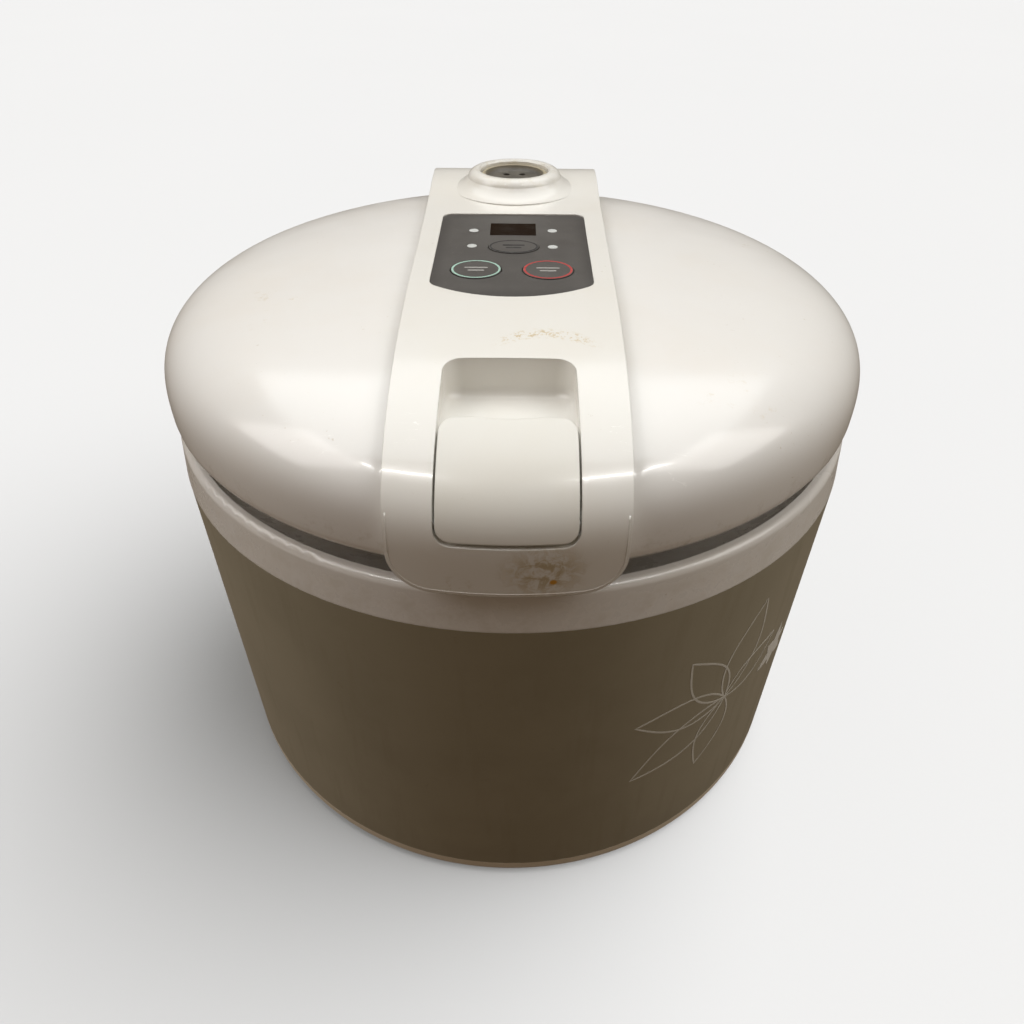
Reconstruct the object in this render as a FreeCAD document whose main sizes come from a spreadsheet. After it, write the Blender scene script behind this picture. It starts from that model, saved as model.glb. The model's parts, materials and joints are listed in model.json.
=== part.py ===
import FreeCAD, Part
import math
import os
import re

import Sketcher

# A jar rice cooker with a hinged lid. Millimetres, +Z up. The origin is on the pot's axis at the
# level that the feet stand on. The latch is at the front (-Y) and the lid's hinge at the rear (+Y).

DIMENSIONS = {
    # body
    "shell_radius": 135.0,
    "shell_gauge": 0.8,
    "rim_bottom": 3.0,
    "rim_top": 9.0,
    "rim_lap": 3.4,
    "shell_top": 149.3,
    "pan_floor": 2.5,
    "foot_circle": 104.0,
    "foot_radius": 11.0,
    "foot_plug": 4.0,
    "screw_radius": 2.0,
    "inlet_half_width": 17.0,
    "inlet_bottom": 9.4,
    "inlet_top": 31.0,
    "inlet_fit": 0.2,
    # upper ring
    "ring_top": 164.5,
    "ring_land_outer": 131.4,
    "ring_land_inner": 129.6,
    "ring_seat_radius": 117.5,
    "ring_seat_height": 156.0,
    "ring_lip_radius": 110.6,
    "ring_wall": 2.4,
    "hinge_notch_bottom": 151.5,
    # liner and heating plate
    "liner_radius": 113.0,
    "liner_gauge": 0.6,
    "liner_floor": 22.0,
    "plate_radius": 80.0,
    "plate_bottom": 26.0,
    "plate_top": 38.0,
    "plate_bore": 18.0,
    "heater_circle": 58.0,
    "heater_radius": 4.0,
    "post_circle": 96.0,
    "post_radius": 5.0,
    "liner_hole": 64.0,
    "sensor_base": 7.5,
    "sensor_cap_gauge": 1.4,
    "fuse_back": -42.0,
    # inner pot
    "pot_radius": 107.0,
    "pot_wall": 1.6,
    "pot_bottom": 38.3,
    "pot_corner": 22.0,
    "pot_flange_radius": 114.0,
    "pot_flange_top": 158.0,
    # lid dome: half-axes and exponents of its outer curve
    "dome_radius": 133.5,
    "dome_base": 176.75,
    "dome_rise": 35.4,
    "dome_flatness": 3.589,
    "dome_shoulder": 3.319,
    "dome_wall": 2.4,
    "dome_lip": 171.4,
    # centre band over the dome
    "band_front": 138.4,
    "band_base": 178.5,
    "band_rise": 38.0,
    "band_flat": 40.0,
    "band_flatness": 2.234,
    "band_shoulder": 3.0,
    "band_rear_lift": 2.5,
    "band_crest": 90.0,
    "band_rear_shoulder": 190.0,
    "band_rear": 138.4,
    "band_rear_bottom": 178.0,
    "band_front_bottom": 168.0,
    "band_half_width": 36.5,
    "band_taper": 0.0275,
    "band_wall": 2.4,
    # hinge
    "hinge_y": 126.0,
    "hinge_z": 175.0,
    "hinge_drum": 9.0,
    "hinge_pin_radius": 2.5,
    "hinge_cradle": 16.3,
    "knuckle_inner": 16.0,
    "knuckle_outer": 35.0,
    "hinge_spring_centre": 25.8,
    # latch
    "latch_pivot_y": -131.8,
    "latch_pivot_z": 188.4,
    "latch_half_width": 18.7,
    "latch_rear": -111.0,
    "latch_bottom": 186.6,
    "latch_gap": 0.6,
    "latch_corner": 4.0,
    "latch_gauge": 2.6,
    "latch_pin_radius": 1.5,
    "hook_bottom": 165.6,
    "hook_ledge": 168.0,
    "strike_front": -131.1,
    "strike_stem": -129.8,
    "strike_rear": -127.9,
    "strike_arm": 3.9,
    "strike_top": 5.4,
    # finger recess
    "recess_rear": -87.0,
    "recess_floor": 201.2,
    "recess_corner": 5.5,
    "recess_hollow": 3.6,
    # control overlay
    "panel_half_width": 29.6,
    "panel_front": -49.0,
    "panel_rear": 36.0,
    "panel_gauge": 1.2,
    "key_height": 3.0,
    "control_board_bottom": 206.5,
    "control_board_top": 208.1,
    # steam vent
    "vent_y": 76.0,
    "vent_bore": 15.6,
    "vent_collar": 21.5,
    "vent_top": 225.0,
    "vent_ledge": 214.0,
    "vent_ledge_width": 3.2,
    # inside the lid
    "lid_base_bottom": 165.6,
    "lid_base_top": 168.0,
    "lid_screw_radius": 1.8,
    "inner_lid_bottom": 162.0,
    "inner_lid_gauge": 1.0,
}

doc = FreeCAD.newDocument("rice_cooker")
sheet = doc.addObject("Spreadsheet::Sheet", "Dims")
for row, (alias, size) in enumerate(DIMENSIONS.items(), start=1):
    sheet.set("A%d" % row, alias)
    sheet.set("B%d" % row, str(size))
    sheet.setAlias("B%d" % row, alias)
doc.recompute()

PIECES = {}


def ref(text):
    """Turn sizes written in words into an expression on the sheet."""
    return re.sub(r"[a-z_]+", lambda word: "Dims." * (word.group() in DIMENSIONS) + word.group(), text)


def value(text):
    """Work out such an expression as a number."""
    return float(sheet.evalExpression(ref(text)))


# ---- sketches -------------------------------------------------------------------------------


def new_body(label):
    body = doc.addObject("PartDesign::Body", label)
    body.Label = label
    PIECES[label] = body
    return body


def arc_between(start, end, radius):
    """The short arc from start to end. A positive radius turns it anticlockwise."""
    middle = (start + end) * 0.5
    chord = end - start
    left = FreeCAD.Vector(-chord.y, chord.x, 0).normalize()
    reach = math.sqrt(radius ** 2 - (chord.Length / 2) ** 2)
    centre = middle + left * math.copysign(reach, radius)
    angles = [math.atan2(point.y - centre.y, point.x - centre.x) for point in (start, end)]
    if radius < 0:
        angles.reverse()
    circle = Part.Circle(centre, FreeCAD.Vector(0, 0, 1), abs(radius))
    return Part.ArcOfCircle(circle, *angles)


def draw_outline(sketch, outline):
    """Closed outline of (across, up) corners. A third entry bends the side that leaves a corner."""
    corners = [FreeCAD.Vector(value(corner[0]), value(corner[1]), 0) for corner in outline]
    sides = []
    for index, corner in enumerate(outline):
        start, end = corners[index], corners[(index + 1) % len(corners)]
        if len(corner) == 3:
            radius = value(corner[2])
            side = sketch.addGeometry(arc_between(start, end, radius), False)
            constraint = sketch.addConstraint(Sketcher.Constraint("Radius", side, abs(radius)))
            sketch.setExpression("Constraints[%d]" % constraint, ref("abs(%s)" % corner[2]))
            sides.append((side, 1, 2) if radius > 0 else (side, 2, 1))
        else:
            sides.append((sketch.addGeometry(Part.LineSegment(start, end), False), 1, 2))
    for index, (side, first, last) in enumerate(sides):
        following, joint, _ = sides[(index + 1) % len(sides)]
        sketch.addConstraint(Sketcher.Constraint("Coincident", side, last, following, joint))
        bind_point(sketch, side, first, outline[index][:2])


def bind_point(sketch, side, point, place):
    for direction, text in zip(("DistanceX", "DistanceY"), place):
        constraint = sketch.addConstraint(Sketcher.Constraint(direction, -1, 1, side, point, value(text)))
        sketch.setExpression("Constraints[%d]" % constraint, ref(text))


def draw_circle(sketch, across, up, radius):
    centre = FreeCAD.Vector(value(across), value(up), 0)
    circle = sketch.addGeometry(Part.Circle(centre, FreeCAD.Vector(0, 0, 1), value(radius)), False)
    bind_point(sketch, circle, 3, (across, up))
    constraint = sketch.addConstraint(Sketcher.Constraint("Radius", circle, value(radius)))
    sketch.setExpression("Constraints[%d]" % constraint, ref(radius))


def draw(body, plane, shapes, offset="0"):
    """A sketch on one of the body's own origin planes. A shape is an outline or a circle's three sizes."""
    sketch = body.newObject("Sketcher::SketchObject", body.Label + "_sketch")
    support = next(item for item in body.Origin.OriginFeatures if item.Role == plane)
    sketch.AttachmentSupport = [(support, "")]
    sketch.MapMode = "FlatFace"
    sketch.setExpression("AttachmentOffset.Base.z", ref(offset))
    for shape in shapes:
        if isinstance(shape[0], str):
            draw_circle(sketch, *shape)
        else:
            draw_outline(sketch, shape)
    return sketch


def box(low_across, low_up, high_across, high_up):
    return [(low_across, low_up), (high_across, low_up), (high_across, high_up), (low_across, high_up)]


# ---- features -------------------------------------------------------------------------------


def feature(body, kind, sketch):
    before = body.Shape.Volume if body.Shape.Solids else 0.0
    made = body.newObject("PartDesign::" + kind, body.Label + "_" + kind.lower())
    made.Profile = sketch
    return made, before


def settle(body, before, cuts):
    """Recompute, and make sure that the feature added or removed something."""
    doc.recompute()
    change = body.Shape.Volume - before
    if (change > -0.01) if cuts else (change < 0.01):
        raise RuntimeError("a feature of %s changed nothing" % body.Label)


def revolve(body, outline, plane="XZ_Plane", angle="360", cuts=False):
    """Turn an outline of (radius, height) corners about Z."""
    made, before = feature(body, "Groove" if cuts else "Revolution", draw(body, plane, [outline]))
    made.ReferenceAxis = (made.Profile[0], ["V_Axis"])
    made.Midplane = True
    made.setExpression("Angle", ref(angle))
    settle(body, before, cuts)


def pad(body, plane, shapes, length, offset="0"):
    """Thicken shapes equally to both sides of the offset plane."""
    made, before = feature(body, "Pad", draw(body, plane, shapes, offset))
    made.SideType = "Symmetric"
    made.setExpression("Length", ref(length))
    settle(body, before, False)


def pocket(body, plane, shapes, length, offset="0"):
    made, before = feature(body, "Pocket", draw(body, plane, shapes, offset))
    made.SideType = "Symmetric"
    made.setExpression("Length", ref(length))
    settle(body, before, True)


def around(body, count):
    """Repeat the body's last feature evenly about Z."""
    pattern = body.newObject("PartDesign::PolarPattern", body.Label + "_pattern")
    pattern.Originals = [body.Tip]
    pattern.Axis = (next(item for item in body.Origin.OriginFeatures if item.Role == "Z_Axis"), [""])
    pattern.Angle = 360
    pattern.Occurrences = count
    body.Tip = pattern
    doc.recompute()


def place(body, across="0", back="0", up="0"):
    for direction, text in zip("xyz", (across, back, up)):
        body.setExpression("Placement.Base." + direction, ref(text))


def turned(label, outline, **place_at):
    """A piece turned about an upright axis through its place."""
    body = new_body(label)
    revolve(body, outline)
    place(body, **place_at)
    return body


def slab(label, shapes, bottom, top):
    """A flat piece between two heights."""
    body = new_body(label)
    pad(body, "XY_Plane", shapes, "(%s) - (%s)" % (top, bottom), "((%s) + (%s)) / 2" % (top, bottom))
    return body


def shaped(label, shape):
    """A piece whose shape is worked out from the sheet by code."""
    piece = doc.addObject("Part::Feature", label)
    piece.Label = label
    piece.Shape = shape
    piece.Placement = shape.Placement
    PIECES[label] = piece
    return piece


# ---- base: casing ---------------------------------------------------------------------------


def make_casing():
    shell = turned("body_shell", box("shell_radius - shell_gauge", "rim_top", "shell_radius", "shell_top"))
    half, top = "inlet_half_width + inlet_fit", "inlet_top + inlet_fit"
    pocket(shell, "XZ_Plane", [box("-(%s)" % half, "rim_top + 0.1", half, top)], "30", "-shell_radius")

    ring = turned("upper_ring", [
        ("shell_radius", "shell_top"),
        ("shell_radius - 1.3", "ring_top - 2.2", "2.4"),
        ("ring_land_outer", "ring_top"),
        ("ring_land_inner + 0.2", "ring_top"),
        ("ring_land_inner", "ring_top - 1.1", "-22"),
        ("ring_seat_radius", "ring_seat_height"),
        ("ring_lip_radius", "ring_seat_height"),
        ("ring_lip_radius", "ring_seat_height - 2.8"),
        ("ring_seat_radius + 0.8", "ring_seat_height - 2.8", "22"),
        ("ring_land_inner - 0.6", "ring_top - 3.6"),
        ("ring_land_outer", "ring_top - 3.4"),
        ("shell_radius - shell_gauge - ring_wall", "shell_top - 6"),
        ("shell_radius - shell_gauge", "shell_top - 6"),
        ("shell_radius - shell_gauge", "shell_top"),
    ])
    revolve(ring, box("112", "hinge_notch_bottom", "140", "180"), "YZ_Plane", "35.6", cuts=True)

    pan = turned("base_pan", [
        ("0", "rim_bottom"),
        ("shell_radius - 2.5", "rim_bottom", "2.5"),
        ("shell_radius", "rim_bottom + 2.5"),
        ("shell_radius", "rim_top"),
        ("shell_radius - shell_gauge", "rim_top"),
        ("shell_radius - shell_gauge", "rim_top + rim_lap"),
        ("shell_radius - shell_gauge - 2", "rim_top + rim_lap"),
        ("shell_radius - shell_gauge - 2", "rim_bottom + pan_floor"),
        ("0", "rim_bottom + pan_floor"),
    ])
    foot_offset = "foot_circle * cos(45)"
    plugs = [(x + foot_offset, y + foot_offset, "foot_plug") for x in ("", "-") for y in ("", "-")]
    screws = [("post_circle * cos(%d)" % turn, "post_circle * sin(%d)" % turn, "screw_radius")
              for turn in (90, 210, 330)]
    pocket(pan, "XY_Plane", plugs + screws, "20")
    pocket(pan, "XZ_Plane", [box("-(%s)" % half, "rim_top", half, top)], "30", "-shell_radius")
    pocket(pan, "XY_Plane", [box("34", "-1.6", "56", "1.6")], "20")
    around(pan, 14)

    corners = {"front_left": ("-", "-"), "front_right": ("", "-"),
               "rear_left": ("-", ""), "rear_right": ("", "")}
    for corner, (across, back) in corners.items():
        turned("foot_" + corner, [
            ("0", "0"),
            ("foot_radius - 1.2", "0", "1.2"),
            ("foot_radius", "1.2"),
            ("foot_radius", "rim_bottom"),
            ("foot_plug", "rim_bottom"),
            ("foot_plug", "rim_bottom + pan_floor"),
            ("foot_plug + 1.2", "rim_bottom + pan_floor"),
            ("foot_plug", "rim_bottom + pan_floor + 3"),
            ("0", "rim_bottom + pan_floor + 3"),
        ], across=across + foot_offset, back=back + foot_offset)

    posts = slab("support_posts", [(x, y, "post_radius") for x, y, _ in screws],
                 "rim_bottom + pan_floor", "liner_floor")
    pocket(posts, "XY_Plane", screws, "40")
    bolts = slab("base_screws", screws, "rim_bottom", "16")
    pad(bolts, "XY_Plane", [(x, y, "3.8") for x, y, _ in screws], "1.5", "rim_bottom - 0.75")


# ---- base: heating and sensing --------------------------------------------------------------


def make_heating():
    turned("inner_liner", [
        ("liner_hole", "liner_floor"),
        ("liner_radius + liner_gauge", "liner_floor"),
        ("liner_radius + liner_gauge", "ring_seat_height - 3"),
        ("liner_radius", "ring_seat_height - 3"),
        ("liner_radius", "liner_floor + liner_gauge"),
        ("liner_hole", "liner_floor + liner_gauge"),
    ])
    liner_outside = "liner_radius + liner_gauge"
    turned("keep_warm_band", box(liner_outside, "80", liner_outside + " + 2.4", "112"))

    plate = turned("heating_plate", [
        ("plate_bore", "plate_bottom"),
        ("plate_radius", "plate_bottom"),
        ("plate_radius", "plate_top - 1.5"),
        ("plate_radius - 1.5", "plate_top"),
        ("plate_bore + 1", "plate_top"),
        ("plate_bore", "plate_top - 1"),
    ])
    tube = ("heater_circle", "plate_bottom + 3", "heater_radius")
    revolve(plate, tube, "XZ_Plane", "330", cuts=True)
    heater = new_body("heater_element")
    revolve(heater, tube, "XZ_Plane", "330")
    ends = [("heater_circle * cos(%d)" % turn, "heater_circle * sin(%d)" % turn, "2")
            for turn in (160, -160)]
    pad(heater, "XY_Plane", ends, "11", "plate_bottom - 2.5")

    spacers = [("71 * cos(%d)" % turn, "71 * sin(%d)" % turn, "5") for turn in (30, 150, 270)]
    slab("plate_spacers", spacers, "liner_floor + liner_gauge", "plate_bottom")

    turned("sensor_housing", [
        ("0", "rim_bottom + pan_floor"),
        ("20", "rim_bottom + pan_floor"),
        ("20", "sensor_base"),
        ("14.2", "sensor_base"),
        ("14.2", "30"),
        ("12.8", "30"),
        ("12.8", "sensor_base"),
        ("0", "sensor_base"),
    ])
    turned("sensor_cap", [
        ("0", "plate_top - 7"),
        ("5", "plate_top - 7"),
        ("5", "plate_top - sensor_cap_gauge"),
        ("14.6", "plate_top - sensor_cap_gauge"),
        ("14.6", "plate_top - 12"),
        ("16", "plate_top - 12"),
        ("16", "plate_top - 1"),
        ("15", "plate_top"),
        ("0", "plate_top"),
    ])
    coil("sensor_spring", "9", "0.6", "4.5", "plate_top - sensor_cap_gauge - sensor_base - 1.2",
         up="sensor_base + 0.6")

    fuse = new_body("thermal_fuse")
    pad(fuse, "YZ_Plane", [("fuse_back", "plate_bottom - 3", "3")], "20")
    pad(fuse, "YZ_Plane", [("fuse_back", "plate_bottom - 3", "0.6")], "34")


def coil(label, radius, wire, pitch, height, **place_at):
    """A round-wire spring whose wire centre starts at its place."""
    body = new_body(label)
    spring = body.newObject("PartDesign::AdditiveHelix", label + "_helix")
    spring.Profile = draw(body, "XZ_Plane", [(radius, "0", wire)])
    spring.ReferenceAxis = (spring.Profile[0], ["V_Axis"])
    spring.Mode = "pitch-height-angle"
    spring.setExpression("Pitch", ref(pitch))
    spring.setExpression("Height", ref(height))
    place(body, **place_at)
    doc.recompute()
    return body


# ---- base: electrics ------------------------------------------------------------------------


def make_electrics():
    board = slab("power_board", [box("-40", "-96", "40", "-52")], "10", "11.6")
    posts = [(x, y, "1.4") for x in ("-36", "36") for y in ("-92", "-56")]
    pocket(board, "XY_Plane", posts, "40")
    standoffs = slab("board_standoffs", [(x, y, "3") for x, y, _ in posts], "rim_bottom + pan_floor", "10")
    pad(standoffs, "XY_Plane", posts, "3", "11.4")

    core = slab("transformer", [box("-34", "-89", "-10", "-69")], "12.6", "20.6")
    windows = [box("-30", "-92", "-27", "-66"), box("-17", "-92", "-14", "-66")]
    pocket(core, "XY_Plane", windows, "5", "20.6")
    pad(core, "XY_Plane", [box("-27", "-91", "-17", "-67")], "9.4", "16.3")

    relay = slab("relay", [box("6", "-88", "24", "-73")], "12.4", "21.4")
    pad(relay, "XY_Plane", [("9", "-80", "0.7"), ("21", "-85", "0.7"), ("21", "-76", "0.7")], "1.6", "12.4")

    inlet = new_body("power_inlet")
    pad(inlet, "XY_Plane", [box("-14.5", "114.5", "14.5", "134.5")], "18.6", "20")
    pad(inlet, "XY_Plane", [box("-inlet_half_width", "133.2", "inlet_half_width", "137")],
        "inlet_top - inlet_bottom", "(inlet_top + inlet_bottom) / 2")
    pocket(inlet, "XZ_Plane", [box("-12", "12.3", "12", "28")], "36", "-136")
    blades = [box("-8.2", "16", "-6", "20"), box("6", "16", "8.2", "20"), box("-1.1", "21", "1.1", "25")]
    pocket(inlet, "XZ_Plane", blades, "10", "-116")
    pins = new_body("inlet_pins")
    pad(pins, "XZ_Plane", blades, "16.6", "-122.6")


# ---- base: hinge and latch strike -----------------------------------------------------------


def make_hinge_mount():
    mount = new_body("hinge_mount")
    revolve(mount, [
        ("ring_seat_radius + 0.8", "152.8"),
        ("ring_seat_radius + 2", "hinge_notch_bottom"),
        ("shell_radius - 0.2", "hinge_notch_bottom"),
        ("shell_radius - 1.3", "ring_top - 2.2"),
        ("ring_land_outer", "ring_top"),
        ("ring_land_inner", "ring_top"),
        ("ring_seat_radius + 0.8", "ring_seat_height + 0.3"),
    ], "YZ_Plane", "35.4")
    pocket(mount, "YZ_Plane", [("hinge_y", "hinge_z", "hinge_cradle")], "100")
    neck = [("116.2", "154"), ("124.2", "154"), ("124.2", "170"), ("hinge_y", "hinge_z"), ("117.5", "172")]
    pad(mount, "YZ_Plane", [neck], "knuckle_inner * 2 - 1")
    pad(mount, "YZ_Plane", [("hinge_y", "hinge_z", "hinge_drum")], "knuckle_inner * 2 - 1")
    pocket(mount, "YZ_Plane", [("hinge_y", "hinge_z", "hinge_pin_radius")], "100")

    pin = new_body("hinge_pin")
    pad(pin, "YZ_Plane", [("hinge_y", "hinge_z", "hinge_pin_radius")], "knuckle_outer * 2 - 0.6")

    springs = []
    for side in (-1, 1):
        wire = Part.makeHelix(value("2.3"), value("9.2"), value("5"))
        section = Part.Wire(Part.Circle(FreeCAD.Vector(5, 0, 0), FreeCAD.Vector(0, 1, 0), 0.8).toShape())
        turn = Part.Wire(wire).makePipeShell([section], True, True)
        turn.rotate(FreeCAD.Vector(), FreeCAD.Vector(0, 1, 0), 90)
        turn.translate(FreeCAD.Vector(side * 25.6 - 4.6, value("hinge_y"), value("hinge_z")))
        springs.append(turn)
    shaped("hinge_springs", Part.makeCompound(springs))

    strike = new_body("latch_strike")
    pad(strike, "YZ_Plane", [[
        ("strike_front", "ring_top"),
        ("strike_stem", "ring_top"),
        ("strike_stem", "ring_top + strike_arm"),
        ("strike_rear", "ring_top + strike_arm"),
        ("strike_rear", "ring_top + strike_top"),
        ("strike_front", "ring_top + strike_top"),
    ]], "14.8")


# ---- inner pot ------------------------------------------------------------------------------


def make_pot():
    turned("inner_pot", [
        ("0", "pot_bottom"),
        ("pot_radius + pot_wall - pot_corner", "pot_bottom", "pot_corner"),
        ("pot_radius + pot_wall", "pot_bottom + pot_corner"),
        ("pot_radius + pot_wall", "pot_flange_top - pot_wall"),
        ("pot_flange_radius - 0.8", "pot_flange_top - pot_wall", "0.8"),
        ("pot_flange_radius - 0.8", "pot_flange_top"),
        ("pot_radius + 1", "pot_flange_top", "1"),
        ("pot_radius", "pot_flange_top - 1"),
        ("pot_radius", "pot_bottom + pot_corner", "pot_wall - pot_corner"),
        ("pot_radius + pot_wall - pot_corner", "pot_bottom + pot_wall"),
        ("0", "pot_bottom + pot_wall"),
    ])


make_casing()
make_heating()
make_electrics()
make_hinge_mount()
make_pot()


# ---- lid: curved solids ---------------------------------------------------------------------


def superellipse(radius, base, rise, flatness, shoulder, count=28):
    """(out, up) points from rim to crown of a curve that is flat on top and round at its shoulder."""
    turns = [math.pi / 2 * step / count for step in range(count)]
    points = [(radius * math.cos(turn) ** (2 / flatness), base + rise * math.sin(turn) ** (2 / shoulder))
              for turn in turns]
    return points + [(0.0, base + rise)]


def smooth(points):
    curve = Part.BSplineCurve()
    curve.interpolate(Points=points)
    return curve.toShape()


def chain(edges):
    """Close a chain of edges with a straight line, and fill it."""
    wire = Part.Wire(Part.sortEdges(edges)[0])
    if not wire.isClosed():
        ends = [vertex.Point for vertex in wire.OrderedVertexes]
        wire = Part.Wire(wire.Edges + [Part.makeLine(ends[-1], ends[0])])
    return Part.Face(wire)


def lines(*corners):
    return [Part.makeLine(start, end) for start, end in zip(corners, corners[1:]) if start != end]


def dome_solid(inset, bottom):
    """Everything under the lid's dome, its surface drawn in by inset, down to a level."""
    radius, base = value("dome_radius") - inset, value("dome_base")
    crown = [FreeCAD.Vector(out, 0, up) for out, up in superellipse(
        radius, base, value("dome_rise") - inset, value("dome_flatness"), value("dome_shoulder"))]
    sides = lines(crown[-1], FreeCAD.Vector(0, 0, bottom), FreeCAD.Vector(radius, 0, bottom), crown[0])
    return chain([smooth(crown)] + sides).revolve(FreeCAD.Vector(), FreeCAD.Vector(0, 0, 1), 360)


def band_solid(inset):
    """Everything under the centre band's surface, wider than the band.

    The front half is turned about the lid's axis, so that its skirt follows the lid. The rear half
    runs straight across, and both are level where they meet.
    """
    base, front, rear = value("band_base"), value("band_front") - inset, value("band_rear") - inset
    top, flat, low = value("band_base + band_rise") - inset, value("band_flat"), value("band_front_bottom")
    shoulder = superellipse(front - flat, base, top - base, value("band_flatness"), value("band_shoulder"))
    points = [FreeCAD.Vector(flat + out, 0, up) for out, up in shoulder]
    sides = lines(points[-1], FreeCAD.Vector(0, 0, top), FreeCAD.Vector(0, 0, low),
                  FreeCAD.Vector(front, 0, low), points[0])
    front_half = chain([smooth(points)] + sides).revolve(FreeCAD.Vector(), FreeCAD.Vector(0, 0, -1), 180)

    lift, crest, ledge = value("band_rear_lift"), value("band_crest"), value("band_rear_shoulder")
    points = [FreeCAD.Vector(-60, back, top + lift * (back / crest) ** 2)
              for back in (0, crest / 3, crest * 2 / 3)]
    for step in range(13):
        turn = math.pi / 2 * step / 12
        points.append(FreeCAD.Vector(-60, crest + (rear - crest) * math.sin(turn),
                                     ledge + (top + lift - ledge) * math.cos(turn)))
    low_rear = value("band_rear_bottom")
    sides = lines(points[-1], FreeCAD.Vector(-60, rear, low_rear), FreeCAD.Vector(-60, 105, low_rear),
                  FreeCAD.Vector(-60, 105, low), FreeCAD.Vector(-60, 0, low), points[0])
    return front_half.fuse(chain([smooth(points)] + sides).extrude(FreeCAD.Vector(120, 0, 0)))


def block(low, high):
    size = [end - start for start, end in zip(low, high)]
    return Part.makeBox(*size, FreeCAD.Vector(*low))


def prism(outline, low, high):
    """An upright prism on a plan outline."""
    corners = [FreeCAD.Vector(across, back, low) for across, back in outline]
    return Part.Face(Part.makePolygon(corners + corners[:1])).extrude(FreeCAD.Vector(0, 0, high - low))


def across_prism(outline, half_width):
    """A prism along X on a side outline of (back, up) corners."""
    corners = [FreeCAD.Vector(-half_width, back, up) for back, up in outline]
    return Part.Face(Part.makePolygon(corners + corners[:1])).extrude(FreeCAD.Vector(2 * half_width, 0, 0))


def post(across, back, radius, low, high):
    return Part.makeCylinder(radius, high - low, FreeCAD.Vector(across, back, low))


def rod(back, up, radius, start, end):
    return Part.makeCylinder(radius, end - start, FreeCAD.Vector(start, back, up), FreeCAD.Vector(1, 0, 0))


def oval(across, back, half_width, half_depth, low, high):
    """An upright prism on an ellipse."""
    centre, turn = FreeCAD.Vector(across, back, low), 0
    if half_depth > half_width:
        half_width, half_depth, turn = half_depth, half_width, 90
    edge = Part.Ellipse(centre, half_width, half_depth).toShape()
    edge.rotate(centre, FreeCAD.Vector(0, 0, 1), turn)
    return Part.Face(Part.Wire(edge)).extrude(FreeCAD.Vector(0, 0, high - low))


def round_upright(solid, radius, chosen=lambda edge: True):
    """Round a prism's upright edges."""
    edges = [edge for edge in solid.Edges
             if edge.BoundBox.XLength + edge.BoundBox.YLength < 0.01 and chosen(edge)]
    return solid.makeFillet(radius, edges)


def band_plan(inset, low, high):
    """The band's plan: it widens towards the rear."""
    half, taper = value("band_half_width") - inset, value("band_taper")
    return prism([(-half + taper * 150, -150), (half - taper * 150, -150),
                  (half + taper * 150, 150), (-half - taper * 150, 150)], low, high)


def low_corners(half, low, radius, back=-110):
    """What is cut away, in front of a plane, to round the two lower corners of an upright plate."""
    cuts = []
    for side in (-1, 1):
        centre = side * (half - radius)
        outer = block((min(centre, side * 60), -160, 150), (max(centre, side * 60), back, low + radius))
        cuts.append(outer.cut(Part.makeCylinder(radius, 60, FreeCAD.Vector(centre, -165, low + radius),
                                                FreeCAD.Vector(0, 1, 0))))
    return cuts


def skirt_corners(inset, radius):
    half = value("band_half_width - band_taper * 130") - inset
    return low_corners(half, value("band_front_bottom") + inset, radius)


# ---- lid: places ----------------------------------------------------------------------------

KEYS = {
    "key_preset": (0.4, -1.4, 9.6, 7.2),
    "key_select": (-12.9, -24.6, 9.1, 8.6),
    "key_off": (12.9, -24.6, 9.1, 8.8),
}
LIGHTS = [(-15.8, 16.6), (-15.6, -0.6), (15.8, 16.9), (15.4, -1.2)]
WINDOW = (-9.2, 11.4, 9.2, 25.4)
BOARD_SCREWS = [(-26, -37), (26, -37), (-26, 28), (26, 28)]
LID_SCREWS = [(-70, -70), (70, -70), (-80, 55), (80, 55), (-26, 98), (26, 98)]
PIVOT = (value("latch_pivot_y"), value("latch_pivot_z"))
WELL_STEP, WELL_MARGIN, TUB_WALL = -134.5, 1.4, 1.8


def panel_plan(low, high):
    """The control overlay's plan: tapered, with a bowed front edge and rounded corners."""
    half, front, rear = value("panel_half_width"), value("panel_front"), value("panel_rear")
    corner = front + 10.5
    bow = Part.Arc(FreeCAD.Vector(-half + 1.2, corner, low), FreeCAD.Vector(0, front, low),
                   FreeCAD.Vector(half - 1.2, corner, low)).toShape()
    sides = lines(FreeCAD.Vector(half - 1.2, corner, low), FreeCAD.Vector(half, rear, low),
                  FreeCAD.Vector(-half, rear, low), FreeCAD.Vector(-half + 1.2, corner, low))
    solid = chain([bow] + sides).extrude(FreeCAD.Vector(0, 0, high - low))
    solid = round_upright(solid, 4, lambda edge: edge.BoundBox.YMin > 0)
    return round_upright(solid, 6, lambda edge: edge.BoundBox.YMin < 0 and abs(edge.BoundBox.XMin) > 9)


def window_plan(margin, low, high):
    left, front, right, rear = WINDOW
    return block((left - margin, front - margin, low), (right + margin, rear + margin, high))


# ---- lid: shells ----------------------------------------------------------------------------


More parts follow.
